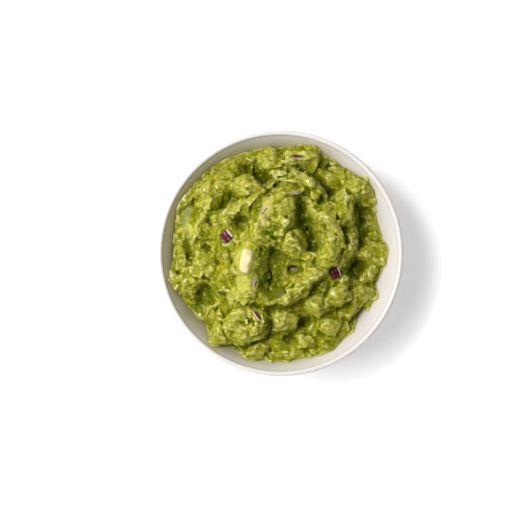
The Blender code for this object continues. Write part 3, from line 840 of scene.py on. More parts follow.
@dataclass
class MashFinish(Finish):
    """Moist mashed avocado: yellow green, with painted shade in its hollows, creases and shaded ovals and painted
    light on its ridges and crowns.
    """

    name: str = "mashed_avocado"
    bump: float = 0.6
    bump_depth: float = 0.5

    def material(self) -> bpy.types.Material:
        """Build the material."""
        material, tree, shader = self.start()
        place = tree.add("ShaderNodeTexCoord").outputs["Object"]
        body = self.group(tree, "tint patches", tone_a=rgb(124, 128, 0), tone_b=rgb(156, 152, 22),
                          size=5.0, seed=1.0).outputs["Color"]
        green = self.group(tree, "tint patches", tone_a=rgb(94, 106, 0), tone_b=rgb(124, 130, 6),
                           size=3.0, seed=3.0).outputs["Color"]
        skin_side = tree.spread(tree.noise(place, 11.0, 3, 0.8), 0.52, 0.66)
        colour = tree.mix(tree.math("MULTIPLY", skin_side, 0.5), body, green)
        pale = tree.spread(tree.noise(place, 2.2, 3, 0.5), 0.55, 0.68)
        colour = tree.mix(tree.math("MULTIPLY", pale, 0.55), colour, rgb(190, 186, 60))
        fine = tree.add("ShaderNodeAttribute", attribute_name="hollow_fine").outputs["Fac"]
        wide = tree.add("ShaderNodeAttribute", attribute_name="hollow_wide").outputs["Fac"]
        broad = tree.add("ShaderNodeAttribute", attribute_name="hollow_broad").outputs["Fac"]
        # Painted light: the broad crowns of the heap, where the light falls fullest, are mixed towards a pale tone.
        painted_crown_light = tree.spread(broad, 0.50, 0.30)
        colour = tree.mix(tree.math("MULTIPLY", painted_crown_light, 0.3), colour, rgb(188, 184, 74))
        # Painted light: thin ridges and edges are mixed towards a pale tone, as if lit through.
        ridge = tree.spread(fine, 0.47, 0.34)
        colour = tree.mix(tree.math("MULTIPLY", ridge, 0.55), colour, rgb(215, 210, 144))
        # Painted shade: fine creases are mixed towards a dark green.
        crease = tree.spread(fine, 0.50, 0.66)
        colour = tree.mix(tree.math("MULTIPLY", crease, 0.6), colour, rgb(84, 90, 0))
        # Painted shade: broad basins and valleys are mixed towards a dark green.
        basin = tree.spread(broad, 0.50, 0.78)
        colour = tree.mix(tree.math("MULTIPLY", basin, 0.7), colour, rgb(92, 98, 0))
        # Painted shade: hollows a few millimetres across are mixed towards a dark green.
        deep = tree.spread(wide, 0.50, 0.70)
        colour = tree.mix(tree.math("MULTIPLY", deep, 0.6), colour, rgb(78, 80, 0))
        # Painted shade: the shaded ovals darken the paste where its hollows lie in shadow; smooth, blush and smeared
        # are the paste's own tones.
        for name, tone, most in (("shaded", rgb(84, 94, 0), 0.7), ("smooth", rgb(204, 200, 100), 0.6),
                                 ("blush", rgb(208, 192, 130), 0.5), ("smeared", rgb(140, 146, 84), 0.7)):
            share = tree.add("ShaderNodeAttribute", attribute_name=name).outputs["Fac"]
            cloud = tree.math("MULTIPLY_ADD", tree.noise(place, 2.4, 3), 0.9, -0.45)
            share = tree.spread(tree.math("ADD", share, cloud), 0.3, 0.75)
            colour = tree.mix(tree.math("MULTIPLY", share, most), colour, tone)
        strands = self.group(tree, "swirled strands", width=1.3, length=4.5).outputs["Value"]
        colour = tree.mix(tree.math("MULTIPLY", tree.spread(strands, 0.54, 0.70), 0.3), colour,
                          rgb(214, 208, 126))
        colour = tree.mix(tree.math("MULTIPLY", tree.spread(strands, 0.46, 0.32), 0.35), colour,
                          rgb(92, 98, 0))
        fleck = tree.spread(tree.noise(place, 0.9, 2, 0.4), 0.66, 0.72)
        colour = tree.mix(tree.math("MULTIPLY", fleck, 0.5), colour, rgb(66, 94, 8))
        tree.feed(shader.inputs["Base Color"], colour)
        film = self.group(tree, "wet film", bead_size=1.3, dull=0.6, shiny=0.4)
        tree.feed(shader.inputs["Roughness"], film.outputs["Roughness"])
        self.roughen(tree, shader, tree.math("MULTIPLY_ADD", strands, 0.8, film.outputs["Height"]))
        wet = tree.spread(tree.noise(place, 2.2, 3, 0.6), 0.42, 0.55)
        proud = tree.spread(wide, 0.50, 0.41)
        tree.feed(shader.inputs["Coat Weight"], tree.math("MULTIPLY", wet, proud))
        shader.inputs["Coat Roughness"].default_value = 0.12
        shader.inputs["Coat IOR"].default_value = 1.4
        shader.inputs["Subsurface Weight"].default_value = 0.8
        shader.inputs["Subsurface Radius"].default_value = (1.0, 0.9, 0.25)
        shader.inputs["Subsurface Scale"].default_value = 2.0 * MM
        shader.inputs["Specular IOR Level"].default_value = 0.0
        return material


@dataclass
class GlazeFinish(Finish):
    """Warm white satin glaze, with mash green on the inside wall above the mash: a thin real smear, plus painted shade
    and bounce light.
    """

    name: str = "white_glaze"
    roughness: float = 0.3
    bump: float = 0.03
    bump_depth: float = 0.05

    def material(self) -> bpy.types.Material:
        """Build the material."""
        material, tree, shader = self.start()
        place = tree.add("ShaderNodeTexCoord").outputs["Object"]
        tint = self.group(tree, "tint patches", tone_a=rgb(218, 213, 210), tone_b=rgb(220, 215, 212),
                          size=22.0, seed=5.0, sharpness=0.3)
        # The smear attribute mixes in painted shade and green bounce light on the lamp's side of the inside wall, over
        # a thin real smear.
        smear = tree.add("ShaderNodeAttribute", attribute_name="smear").outputs["Fac"]
        uneven = tree.math("MULTIPLY_ADD", tree.noise(place, 4.0, 3), 0.8, 0.6)
        smear = tree.math("MINIMUM", tree.math("MULTIPLY", smear, uneven), 1.0)
        tree.feed(shader.inputs["Base Color"], tree.mix(smear, tint.outputs["Color"], rgb(176, 164, 40)))
        shader.inputs["Specular IOR Level"].default_value = 0.3
        waves = tree.noise(place, 9.0, 2)
        tree.feed(shader.inputs["Roughness"], tree.spread(waves, 0.2, 0.8, 0.28, 0.34))
        self.roughen(tree, shader, tree.math("ADD", waves, tree.math("MULTIPLY", tree.noise(place, 1.2, 2), 0.15)))
        return material


@dataclass
class AvocadoFinish(Finish):
    """Pale avocado flesh, greener towards its edges."""

    name: str = "avocado_flesh"
    bump: float = 0.35
    bump_depth: float = 0.25

    def material(self) -> bpy.types.Material:
        """Build the material."""
        material, tree, shader = self.start()
        core = self.group(tree, "tint patches", tone_a=rgb(232, 214, 174), tone_b=rgb(224, 207, 150),
                          size=4.0, seed=7.0).outputs["Color"]
        edge = tree.add("ShaderNodeAttribute", attribute_name="edge").outputs["Fac"]
        place = tree.add("ShaderNodeTexCoord").outputs["Object"]
        ragged = tree.math("MULTIPLY_ADD", tree.noise(place, 2.0, 3), 2.4, -1.2)
        share = tree.spread(tree.math("ADD", edge, ragged), 0.05, 0.95)
        smear = self.group(tree, "tint patches", tone_a=rgb(194, 188, 84), tone_b=rgb(156, 158, 36),
                           size=2.5, seed=9.0).outputs["Color"]
        tree.feed(shader.inputs["Base Color"], tree.mix(share, core, smear))
        film = self.group(tree, "wet film", bead_size=1.1, dull=0.5, shiny=0.3, seed=2.0)
        tree.feed(shader.inputs["Roughness"], film.outputs["Roughness"])
        self.roughen(tree, shader, film.outputs["Height"])
        shader.inputs["Subsurface Weight"].default_value = 0.3
        shader.inputs["Subsurface Radius"].default_value = (1.0, 0.9, 0.5)
        shader.inputs["Subsurface Scale"].default_value = 0.8 * MM
        shader.inputs["Specular IOR Level"].default_value = 0.12
        return material


@dataclass
class CrumbFinish(Finish):
    """Small unmashed crumbs of avocado, pale yellow green."""

    name: str = "avocado_crumb"
    bump: float = 0.3
    bump_depth: float = 0.2

    def material(self) -> bpy.types.Material:
        """Build the material."""
        material, tree, shader = self.start()
        tint = self.group(tree, "tint patches", tone_a=rgb(186, 181, 72), tone_b=rgb(146, 146, 20),
                          size=2.0, seed=15.0)
        tree.feed(shader.inputs["Base Color"], tint.outputs["Color"])
        film = self.group(tree, "wet film", bead_size=1.1, dull=0.5, shiny=0.3, seed=8.0)
        tree.feed(shader.inputs["Roughness"], film.outputs["Roughness"])
        self.roughen(tree, shader, film.outputs["Height"])
        shader.inputs["Subsurface Weight"].default_value = 0.5
        shader.inputs["Subsurface Radius"].default_value = (1.0, 0.9, 0.25)
        shader.inputs["Subsurface Scale"].default_value = 1.0 * MM
        shader.inputs["Specular IOR Level"].default_value = 0.15
        return material


@dataclass
class OnionFinish(Finish):
    """Red onion: a dark purple face with thin pale stripes, and a pale band along one side."""

    name: str = "red_onion"
    skin: tuple = rgb(82, 22, 36)
    streak: tuple = rgb(206, 176, 178)
    flesh: tuple = rgb(214, 190, 172)
    band: float = 0.84
    stripes: float = 15.0
    streak_share: float = 0.7
    bump: float = 0.2
    bump_depth: float = 0.15

    def material(self) -> bpy.types.Material:
        """Build the material."""
        material, tree, shader = self.start()
        depth = tree.add("ShaderNodeAttribute", attribute_name="depth").outputs["Fac"]
        across = tree.add("ShaderNodeAttribute", attribute_name="across").outputs["Fac"]
        place = tree.add("ShaderNodeTexCoord").outputs["Object"]
        wobble = tree.math("MULTIPLY_ADD", tree.noise(place, 1.8, 2), 0.3, -0.15)
        at = tree.math("ADD", across, wobble)
        lines = tree.math("SINE", tree.math("MULTIPLY", at, self.stripes))
        broken = tree.spread(tree.noise(place, 1.2, 2), 0.40, 0.60)
        streaks = tree.math("MULTIPLY", tree.math("MULTIPLY", tree.spread(lines, 0.80, 0.98), broken),
                            self.streak_share)
        top = tree.mix(streaks, self.skin, self.streak)
        share = tree.math("MAXIMUM", tree.spread(at, self.band - 0.06, self.band + 0.06),
                          tree.spread(tree.math("ADD", depth, wobble), 0.62, 0.80))
        tree.feed(shader.inputs["Base Color"], tree.mix(share, top, self.flesh))
        film = self.group(tree, "wet film", bead_size=1.2, dull=0.5, shiny=0.3, seed=4.0)
        tree.feed(shader.inputs["Roughness"], film.outputs["Roughness"])
        self.roughen(tree, shader, film.outputs["Height"])
        shader.inputs["Specular IOR Level"].default_value = 0.2
        return material


@dataclass
class HerbFinish(Finish):
    """Chopped fresh herb leaf."""

    name: str = "herb_leaf"
    bump: float = 0.3
    bump_depth: float = 0.1

    def material(self) -> bpy.types.Material:
        """Build the material."""
        material, tree, shader = self.start()
        tint = self.group(tree, "tint patches", tone_a=rgb(48, 60, 0), tone_b=rgb(98, 120, 8),
                          size=1.6, seed=11.0)
        tree.feed(shader.inputs["Base Color"], tint.outputs["Color"])
        shader.inputs["Specular IOR Level"].default_value = 0.08
        film = self.group(tree, "wet film", bead_size=0.7, dull=0.5, shiny=0.3, seed=6.0)
        tree.feed(shader.inputs["Roughness"], film.outputs["Roughness"])
        self.roughen(tree, shader, film.outputs["Height"])
        return material


@dataclass
class FloorFinish(Finish):
    """Plain pale matt floor."""

    name: str = "pale_floor"
    roughness: float = 0.9
    glow: float = 0.28

    def material(self) -> bpy.types.Material:
        """Build the material."""
        material, tree, shader = self.start()
        tint = self.group(tree, "tint patches", tone_a=rgb(250, 250, 250), tone_b=rgb(248, 248, 248), size=80.0)
        tree.feed(shader.inputs["Base Color"], tint.outputs["Color"])
        shader.inputs["Emission Color"].default_value = (1, 1, 1, 1)
        shader.inputs["Emission Strength"].default_value = self.glow
        return material


# ---------------------------------------------------------------- bowl and toppings


@dataclass
class Bowl:
    """The bowl, turned about its axis from its section by Geometry Nodes."""

    dish: Dish
    segments: int = 160
    lip_steps: int = 12
    painted_shade_turn: float = 165.0

    def section(self) -> list[tuple[float, float]]:
        """Closed section from the middle of the inside to the middle of the underside."""
        dish = self.dish
        inside = dish.wall()[::-1]
        middle = np.array([dish.radius - dish.lip, dish.height - dish.lip])
        turns = np.linspace(0, pi, self.lip_steps + 1)[1:]
        lip = [middle + dish.lip * np.array([-cos(a), sin(a)]) for a in turns]
        thickness = np.linspace(2 * dish.lip, dish.floor_thickness, len(inside))
        outside = [p for p in dish.wall(-thickness)[1:] if p[0] > dish.foot_outer + dish.foot_rounding]
        soft = dish.foot_rounding
        quarter = np.linspace(0, pi / 2, 5)
        under = dish.floor_level - dish.floor_thickness
        outer = [(dish.foot_outer - soft + soft * cos(a), soft - soft * sin(a)) for a in quarter]
        inner = [(dish.foot_inner + soft - soft * sin(a), soft - soft * cos(a)) for a in quarter]
        joint = [(dish.foot_outer, outside[-1][1] - soft)]
        return [(0, dish.floor_level), *inside, *lip, *outside, *joint, *outer, *inner,
                (dish.foot_inner, under), (0, under)]

    def turning_tree(self) -> bpy.types.NodeTree:
        """Geometry Nodes that turn a section about the Z axis and close it."""
        group = bpy.data.node_groups.new("turned dish", "GeometryNodeTree")
        face = group.interface
        face.new_socket("Geometry", in_out="INPUT", socket_type="NodeSocketGeometry")
        face.new_socket("Segments", in_out="INPUT", socket_type="NodeSocketInt")
        face.new_socket("Path Radius", in_out="INPUT", socket_type="NodeSocketFloat")
        face.new_socket("Material", in_out="INPUT", socket_type="NodeSocketMaterial")
        face.new_socket("Geometry", in_out="OUTPUT", socket_type="NodeSocketGeometry")
        tree = Tree(group)
        source, result = tree.add("NodeGroupInput"), tree.add("NodeGroupOutput")
        section = tree.add("GeometryNodeMeshToCurve", {"Mesh": source.outputs["Geometry"]})
        path = tree.add("GeometryNodeCurvePrimitiveCircle",
                        {"Resolution": source.outputs["Segments"], "Radius": source.outputs["Path Radius"]})
        turned = tree.add("GeometryNodeCurveToMesh", {"Curve": path.outputs["Curve"],
                                                      "Profile Curve": section.outputs["Curve"]})
        joined = tree.add("GeometryNodeMergeByDistance", {"Geometry": turned.outputs[0], "Distance": 0.01 * MM})
        smooth = tree.add("GeometryNodeSetShadeSmooth", {"Geometry": joined.outputs[0]})
        dressed = tree.add("GeometryNodeSetMaterial", {"Geometry": smooth.outputs[0],
                                                       "Material": source.outputs["Material"]})
        tree.feed(result.inputs["Geometry"], dressed.outputs[0])
        return group

    def smear(self, points: np.ndarray, mash: Mash) -> np.ndarray:
        """How much mash colour is painted on the wall at each point: a thin real smear all round, plus painted shade
        and green bounce light that grow towards the lamp's side, where the wall lies in shadow, fading with height
        above the mash.
        """
        radius = np.hypot(points[:, 0], points[:, 1])
        direction = np.arctan2(points[:, 1], points[:, 0])
        gap = np.clip(points[:, 2] - mash.edge(direction), 0, None)
        side = 0.5 + 0.5 * np.cos(direction - radians(self.painted_shade_turn))
        inside = radius < self.dish.inner_radius(points[:, 2]) + 0.2
        return inside * (0.12 + 0.5 * side ** 0.7) * np.exp(-(gap / (1.5 + 3.5 * side)) ** 1.5)

    def build(self, material: bpy.types.Material, mash: Mash) -> bpy.types.Object:
        """The bowl as one closed piece."""
        path_radius = self.dish.radius
        points = [((r - path_radius) * MM, -z * MM, 0) for r, z in self.section()]
        mesh = bpy.data.meshes.new("dish_section")
        mesh.from_pydata(points, [(k, k + 1) for k in range(len(points) - 1)], [])
        piece = bpy.data.objects.new("dish", mesh)
        bpy.context.collection.objects.link(piece)
        settings = {"Segments": self.segments, "Path Radius": path_radius * MM, "Material": material}
        run_nodes(piece, self.turning_tree(), settings)
        face_outwards(piece)
        # Mash green on the inside wall: a thin real smear, plus painted shade and bounce light on the lamp's side.
        set_values(piece, "smear", self.smear(corners_of(piece), mash))
        return piece


def corners_of(piece: bpy.types.Object) -> np.ndarray:
    """Where a piece's points are, in millimetres."""
    points = np.empty(len(piece.data.vertices) * 3)
    piece.data.vertices.foreach_get("co", points)
    return points.reshape(-1, 3) / MM


def thin_out(piece: bpy.types.Object, most: int) -> None:
    """Take the least needed triangles out of a piece until it has no more than a number."""
    piece.data.calc_loop_triangles()
    count = len(piece.data.loop_triangles)
    if count > most:
        piece.modifiers.new("thin out", "DECIMATE").ratio = most / count
        keep_result(piece)


def keep_result(piece: bpy.types.Object) -> None:
    """Turn what a piece's modifiers make into its plain mesh."""
    graph = bpy.context.evaluated_depsgraph_get()
    result = bpy.data.meshes.new_from_object(piece.evaluated_get(graph), depsgraph=graph)
    piece.modifiers.clear()
    piece.data = result
    result.name = piece.name


def run_nodes(piece: bpy.types.Object, group: bpy.types.NodeTree, settings: dict[str, object]) -> None:
    """Run a Geometry Nodes tree on a piece and keep the result as its plain mesh.

    Args:
        piece: Object to work on.
        group: The tree.
        settings: Values for its inputs, by name.
    """
    modifier = piece.modifiers.new(group.name, "NODES")
    modifier.node_group = group
    for item in group.interface.items_tree:
        if item.item_type == "SOCKET" and item.in_out == "INPUT" and item.name in settings:
            modifier[item.identifier] = settings[item.name]
    keep_result(piece)


def face_outwards(piece: bpy.types.Object) -> None:
    """Turn every face of a closed mesh outwards."""
    bm = bmesh.new()
    bm.from_mesh(piece.data)
    bmesh.ops.recalc_face_normals(bm, faces=bm.faces)
    bm.to_mesh(piece.data)
    bm.free()


@dataclass(frozen=True)
class Seat:
    """Where a packed topping lies: its middle, its own axes (long, short and upright), and its size."""

    middle: np.ndarray
    axes: np.ndarray
    size: np.ndarray
    level: float
    margin: float = 0.3

    @classmethod
    def of(cls, node: str, level: float = 0.1) -> "Seat":
        """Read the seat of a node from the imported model.

        Args:
            node: Name of the node.
            level: Where the mash meets it, in shares of its thickness above its middle.

        Returns:
            The seat.
        """
        points = np.unique(corners_of(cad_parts[node]).round(3), axis=0)
        middle = (points.max(axis=0) + points.min(axis=0)) / 2
        spread, axes = np.linalg.eigh(np.cov((points - points.mean(axis=0)).T))
        axes = axes.T[np.argsort(-spread)]
        upright = np.argmax(np.abs(axes[:, 2]))
        axes = np.vstack([np.delete(axes, upright, axis=0), axes[upright] * np.sign(axes[upright, 2])])
        axes[1] = np.cross(axes[2], axes[0])
        along = (points - middle) @ axes.T
        return cls(middle, axes, np.ptp(along, axis=0), level)

    def place(self, points: np.ndarray) -> np.ndarray:
        """Carry points from the seat's own axes into the model."""
        return points @ self.axes + self.middle

    def plane(self, x: np.ndarray, y: np.ndarray) -> np.ndarray:
        """Height of the mash that holds the topping."""
        normal = self.axes[2]
        rise = (normal[0] * (x - self.middle[0]) + normal[1] * (y - self.middle[1])) / normal[2]
        return self.middle[2] + self.level * self.size[2] - rise

    def hold(self, x: np.ndarray, y: np.ndarray) -> np.ndarray:
        """How far the mash keeps to that height: 1 under the topping, 0 away from it."""
        along = ((x - self.middle[0]) * self.axes[0, 0] + (y - self.middle[1]) * self.axes[0, 1])
        across = ((x - self.middle[0]) * self.axes[1, 0] + (y - self.middle[1]) * self.axes[1, 1])
        out = np.hypot(along / (self.size[0] / 2 + self.margin), across / (self.size[1] / 2 + self.margin))
        share = np.clip(2.4 - 1.5 * out, 0, 1)
        return share * share * (3 - 2 * share)


def block_points(cuts: Sequence[int]) -> tuple[np.ndarray, list]:
    """A box from -1 to 1 with its sides cut into a grid, and its faces."""
    bm = bmesh.new()
    number: dict[tuple, bmesh.types.BMVert] = {}
    for axis in range(3):
        one, two = (axis + 1) % 3, (axis + 2) % 3
        for end in (0, cuts[axis]):
            for i, j in np.ndindex(cuts[one], cuts[two]):
                corners = []
                for di, dj in ((0, 0), (1, 0), (1, 1), (0, 1)):
                    spot = [0, 0, 0]
                    spot[axis], spot[one], spot[two] = end, i + di, j + dj
                    spot = tuple(spot)
                    if spot not in number:
                        number[spot] = bm.verts.new([2 * s / c - 1 for s, c in zip(spot, cuts)])
                    corners.append(number[spot])
                bm.faces.new(corners if end else corners[::-1])
    bm.verts.index_update()
    points = np.array([vert.co for vert in bm.verts])
    faces = [[vert.index for vert in face.verts] for face in bm.faces]
    bm.free()
    return points, faces


def round_off(points: np.ndarray, size: np.ndarray, radius: float) -> np.ndarray:
    """Scale a box from -1 to 1 to a size and round its edges to a radius."""
    half = size / 2
    core = np.maximum(half - radius, 0.05)
    spots = points * half
    inner = np.clip(spots, -core, core)
    out = spots - inner
    length = np.linalg.norm(out, axis=1, keepdims=True)
    return inner + np.where(length > 1e-6, out / np.maximum(length, 1e-6) * np.minimum(radius, length), 0)


def set_values(piece: bpy.types.Object, name: str, values: np.ndarray) -> None:
    """Store one number for each point of a piece."""
    attribute = piece.data.attributes.new(name, "FLOAT", "POINT")
    attribute.data.foreach_set("value", values.astype(np.float32))


@dataclass
class Onion:
    """One bit of red onion: a slightly curved slice of a layer with cut sides."""

    node: str
    slot: Slot
    finish: Finish
    curl: float = 0.35
    edge: float = 0.45
    waver: float = 0.25
    taper: float = 0.0
    side: int = 1
    flip: bool = False
    seed: int = 40

    def build(self) -> bpy.types.Object:
        """The bit as one closed piece that lies in its seat."""
        seat = Seat.of(self.node)
        cuts = [max(4, ceil(length / 0.42)) for length in seat.size]
        unit, faces = block_points(cuts)
        points = round_off(unit, seat.size, min(self.edge, seat.size.min() * 0.3))
        points[:, 1] *= 1 - self.taper * unit[:, 0] ** 2
        points[:, 2] -= self.curl * (unit[:, 0] ** 2 - 0.4) * (seat.size[0] / 5)
        shift = np.stack([Noise(2.2, self.seed + k).gradient(points) for k in range(3)], axis=1)
        points = points + self.waver * shift
        piece = mesh_object(self.node + "_bit", seat.place(points), faces, self.finish.material())
        set_values(piece, "depth", (1 - unit[:, 2]) / 2)
        across = -unit[:, self.side] if self.flip else unit[:, self.side]
        set_values(piece, "across", (across + 1) / 2)
        return piece


@dataclass
class Chunk:
    """The pale chunk of avocado that was not mashed: a block with cut faces and soft edges."""

    node: str = "avocado_chunk"
    cuts: tuple = (48, 32, 24)
    facets: tuple = (
        ((0.06, 0.30, 1.0), 0.84), ((0.0, 1.0, 0.40), 0.84), ((0.0, -1.0, 0.75), 0.90),
        ((1.0, 0.1, 0.45), 0.96), ((-1.0, 0.1, 0.45), 0.98), ((0.7, -0.8, 0.5), 0.94),
        ((-0.75, 0.75, 0.4), 1.0), ((-0.7, -0.8, 0.4), 0.96), ((0.0, 0.0, -1.0), 0.95),
    )
    softness: float = 9.0
    seed: int = 60

    def build(self, material: bpy.types.Material) -> bpy.types.Object:
        """The chunk as one closed piece that lies in its seat."""
        seat = Seat.of(self.node)
        unit, faces = block_points(self.cuts)
        unit /= np.linalg.norm(unit, axis=1, keepdims=True)
        normals = np.array([normal for normal, _ in self.facets])
        normals /= np.linalg.norm(normals, axis=1, keepdims=True)
        nearness = np.clip(unit @ normals.T, 0, None) / np.array([out for _, out in self.facets])
        reach = (nearness ** self.softness).sum(axis=1) ** (-1 / self.softness)
        points = unit * reach[:, None] * seat.size / 2
        push = 0.3 * Noise(4.5, self.seed).gradient(points) + 0.14 * Noise(1.6, self.seed + 1).gradient(points)
        points = points + unit * push[:, None]
        piece = mesh_object("avocado_piece", seat.place(points), faces, material)
        set_values(piece, "edge", np.clip(2.7 * (1 - nearness[:, 0] * reach), 0, 1))
        return piece


@dataclass(frozen=True)
class Ground:
    """Finds the top of the mash."""

    tree: BVHTree

    @classmethod
    def of(cls, piece: bpy.types.Object) -> "Ground":
        """Read a piece's faces."""
        faces = [list(face.vertices) for face in piece.data.polygons]
        return cls(BVHTree.FromPolygons([vert.co.copy() for vert in piece.data.vertices], faces))

    def drop(self, x: float, y: float) -> tuple[Vector, Vector]:
        """Where a point let fall at x, y lands, and which way the surface there looks."""
        place, normal, _, _ = self.tree.ray_cast(Vector((x, y, 80.0)) * MM, Vector((0, 0, -1)))
        return place, normal


@dataclass
class Scatter:
    """Small bits of one kind laid on the mash by Geometry Nodes, and kept as one piece.

    Attributes:
        name: Name of the piece.
        placed: Bits that have their own place: x, y, length, width, turn in degrees.
        count: How many more lie at random.
        lengths: Shortest and longest of those.
        slimness: Width of those, in shares of their length.
        thickness: Of every bit.
        curl: How far a bit's middle stands above its ends, in thicknesses.
        ragged: How far its outline strays.
        detail: Times that each bit's faces are divided.
        sunk: How deep its middle lies under the surface.
        seed: Number that fixes the random ones.
    """

    name: str
    placed: Sequence[tuple[float, float, float, float, float]] = ()
    count: int = 0
    lengths: tuple[float, float] = (0.8, 2.0)
    slimness: float = 0.5
    thickness: float = 0.55
    curl: float = 0.3
    ragged: float = 0.5
    detail: int = 3
    sunk: float = -0.3
    seed: int = 70

    def tree(self) -> bpy.types.NodeTree:
        """Geometry Nodes that put a bit on each point."""
        group = bpy.data.node_groups.new("laid bits " + self.name, "GeometryNodeTree")
        face = group.interface
        face.new_socket("Geometry", in_out="INPUT", socket_type="NodeSocketGeometry")
        for name, kind in (("Detail", "Int"), ("Curl", "Float"), ("Ragged", "Float"), ("Grain", "Float"),
                           ("Seed", "Float"), ("Material", "Material")):
            face.new_socket(name, in_out="INPUT", socket_type="NodeSocket" + kind)
        face.new_socket("Geometry", in_out="OUTPUT", socket_type="NodeSocketGeometry")
        tree = Tree(group)
        source, result = tree.add("NodeGroupInput"), tree.add("NodeGroupOutput")
        ball = tree.add("GeometryNodeMeshIcoSphere", {"Radius": 0.5, "Subdivisions": source.outputs["Detail"]})
        x = tree.add("ShaderNodeSeparateXYZ", {0: tree.add("GeometryNodeInputPosition").outputs[0]}).outputs[0]
        fall = tree.math("MULTIPLY", tree.math("MULTIPLY", x, x), tree.math("MULTIPLY", source.outputs["Curl"], -4.0))
        bent = tree.add("GeometryNodeSetPosition", {"Geometry": ball.outputs[0], "Offset": tree.add(
            "ShaderNodeCombineXYZ", {"Z": fall}).outputs[0]})
        read = {name: tree.add("GeometryNodeInputNamedAttribute", {"Name": name}, data_type="FLOAT_VECTOR")
                .outputs[0] for name in ("lean", "size", "spin")}
        lean = tree.add("FunctionNodeAlignRotationToVector", {"Vector": read["lean"]}, axis="Z")
        spin = tree.add("FunctionNodeEulerToRotation", {0: read["spin"]})
        turned = tree.add("FunctionNodeRotateRotation", {"Rotation": lean.outputs[0],
                                                         "Rotate By": spin.outputs[0]}, rotation_space="LOCAL")
        laid = tree.add("GeometryNodeInstanceOnPoints", {
            "Points": source.outputs["Geometry"], "Instance": bent.outputs[0],
            "Rotation": turned.outputs[0], "Scale": read["size"]})
        real = tree.add("GeometryNodeRealizeInstances", {"Geometry": laid.outputs[0]})
        cloud = tree.add("ShaderNodeTexNoise", {"W": source.outputs["Seed"], "Scale": source.outputs["Grain"],
                                                "Detail": 2.0}, noise_dimensions="4D").outputs["Color"]
        centred = tree.add("ShaderNodeVectorMath", {0: cloud, 1: (0.5, 0.5, 0.5)}, operation="SUBTRACT")
        amount = tree.add("ShaderNodeVectorMath", {0: centred.outputs[0], "Scale": source.outputs["Ragged"]},
                          operation="SCALE")
        rough = tree.add("GeometryNodeSetPosition", {"Geometry": real.outputs[0], "Offset": amount.outputs[0]})
        smooth = tree.add("GeometryNodeSetShadeSmooth", {"Geometry": rough.outputs[0]})
        dressed = tree.add("GeometryNodeSetMaterial", {"Geometry": smooth.outputs[0],
                                                       "Material": source.outputs["Material"]})
        tree.feed(result.inputs["Geometry"], dressed.outputs[0])
        return group

    def layout(self) -> list[tuple[float, float, float, float, float]]:
        """Every bit: the placed ones, then the random ones."""
        rng = np.random.default_rng(self.seed)
        bits = list(self.placed)
        for _ in range(self.count):
            radius, way = 46.0 * rng.random() ** 0.5, rng.uniform(0, 2 * pi)
            length = rng.uniform(*self.lengths)
            width = length * self.slimness * rng.uniform(0.7, 1.3)
            bits.append((radius * cos(way), radius * sin(way), length, width, rng.uniform(0, 360)))
        return bits

    def build(self, ground: Ground, material: bpy.types.Material) -> bpy.types.Object:
        """The bits as one piece."""
        rng = np.random.default_rng(self.seed + 1)
        bits = self.layout()
        landed = [ground.drop(x, y) for x, y, *_ in bits]
        mesh = bpy.data.meshes.new(self.name)
        mesh.from_pydata([place - normal * self.sunk * MM for place, normal in landed], [], [])
        piece = bpy.data.objects.new(self.name, mesh)
        bpy.context.collection.objects.link(piece)
        sizes = [(length * MM, width * MM, self.thickness * MM) for _, _, length, width, _ in bits]
        spins = [(rng.normal() * 0.2, rng.normal() * 0.2, radians(turn)) for *_, turn in bits]
        for name, rows in (("lean", [normal for _, normal in landed]), ("size", sizes), ("spin", spins)):
            attribute = mesh.attributes.new(name, "FLOAT_VECTOR", "POINT")
            attribute.data.foreach_set("vector", np.array(rows, np.float32).ravel())
        settings = {"Detail": self.detail, "Curl": self.curl, "Ragged": self.ragged * MM, "Grain": 0.9 / MM,
                    "Seed": float(self.seed), "Material": material}
        run_nodes(piece, self.tree(), settings)
        face_outwards(piece)
        return piece


# ---------------------------------------------------------------- stage


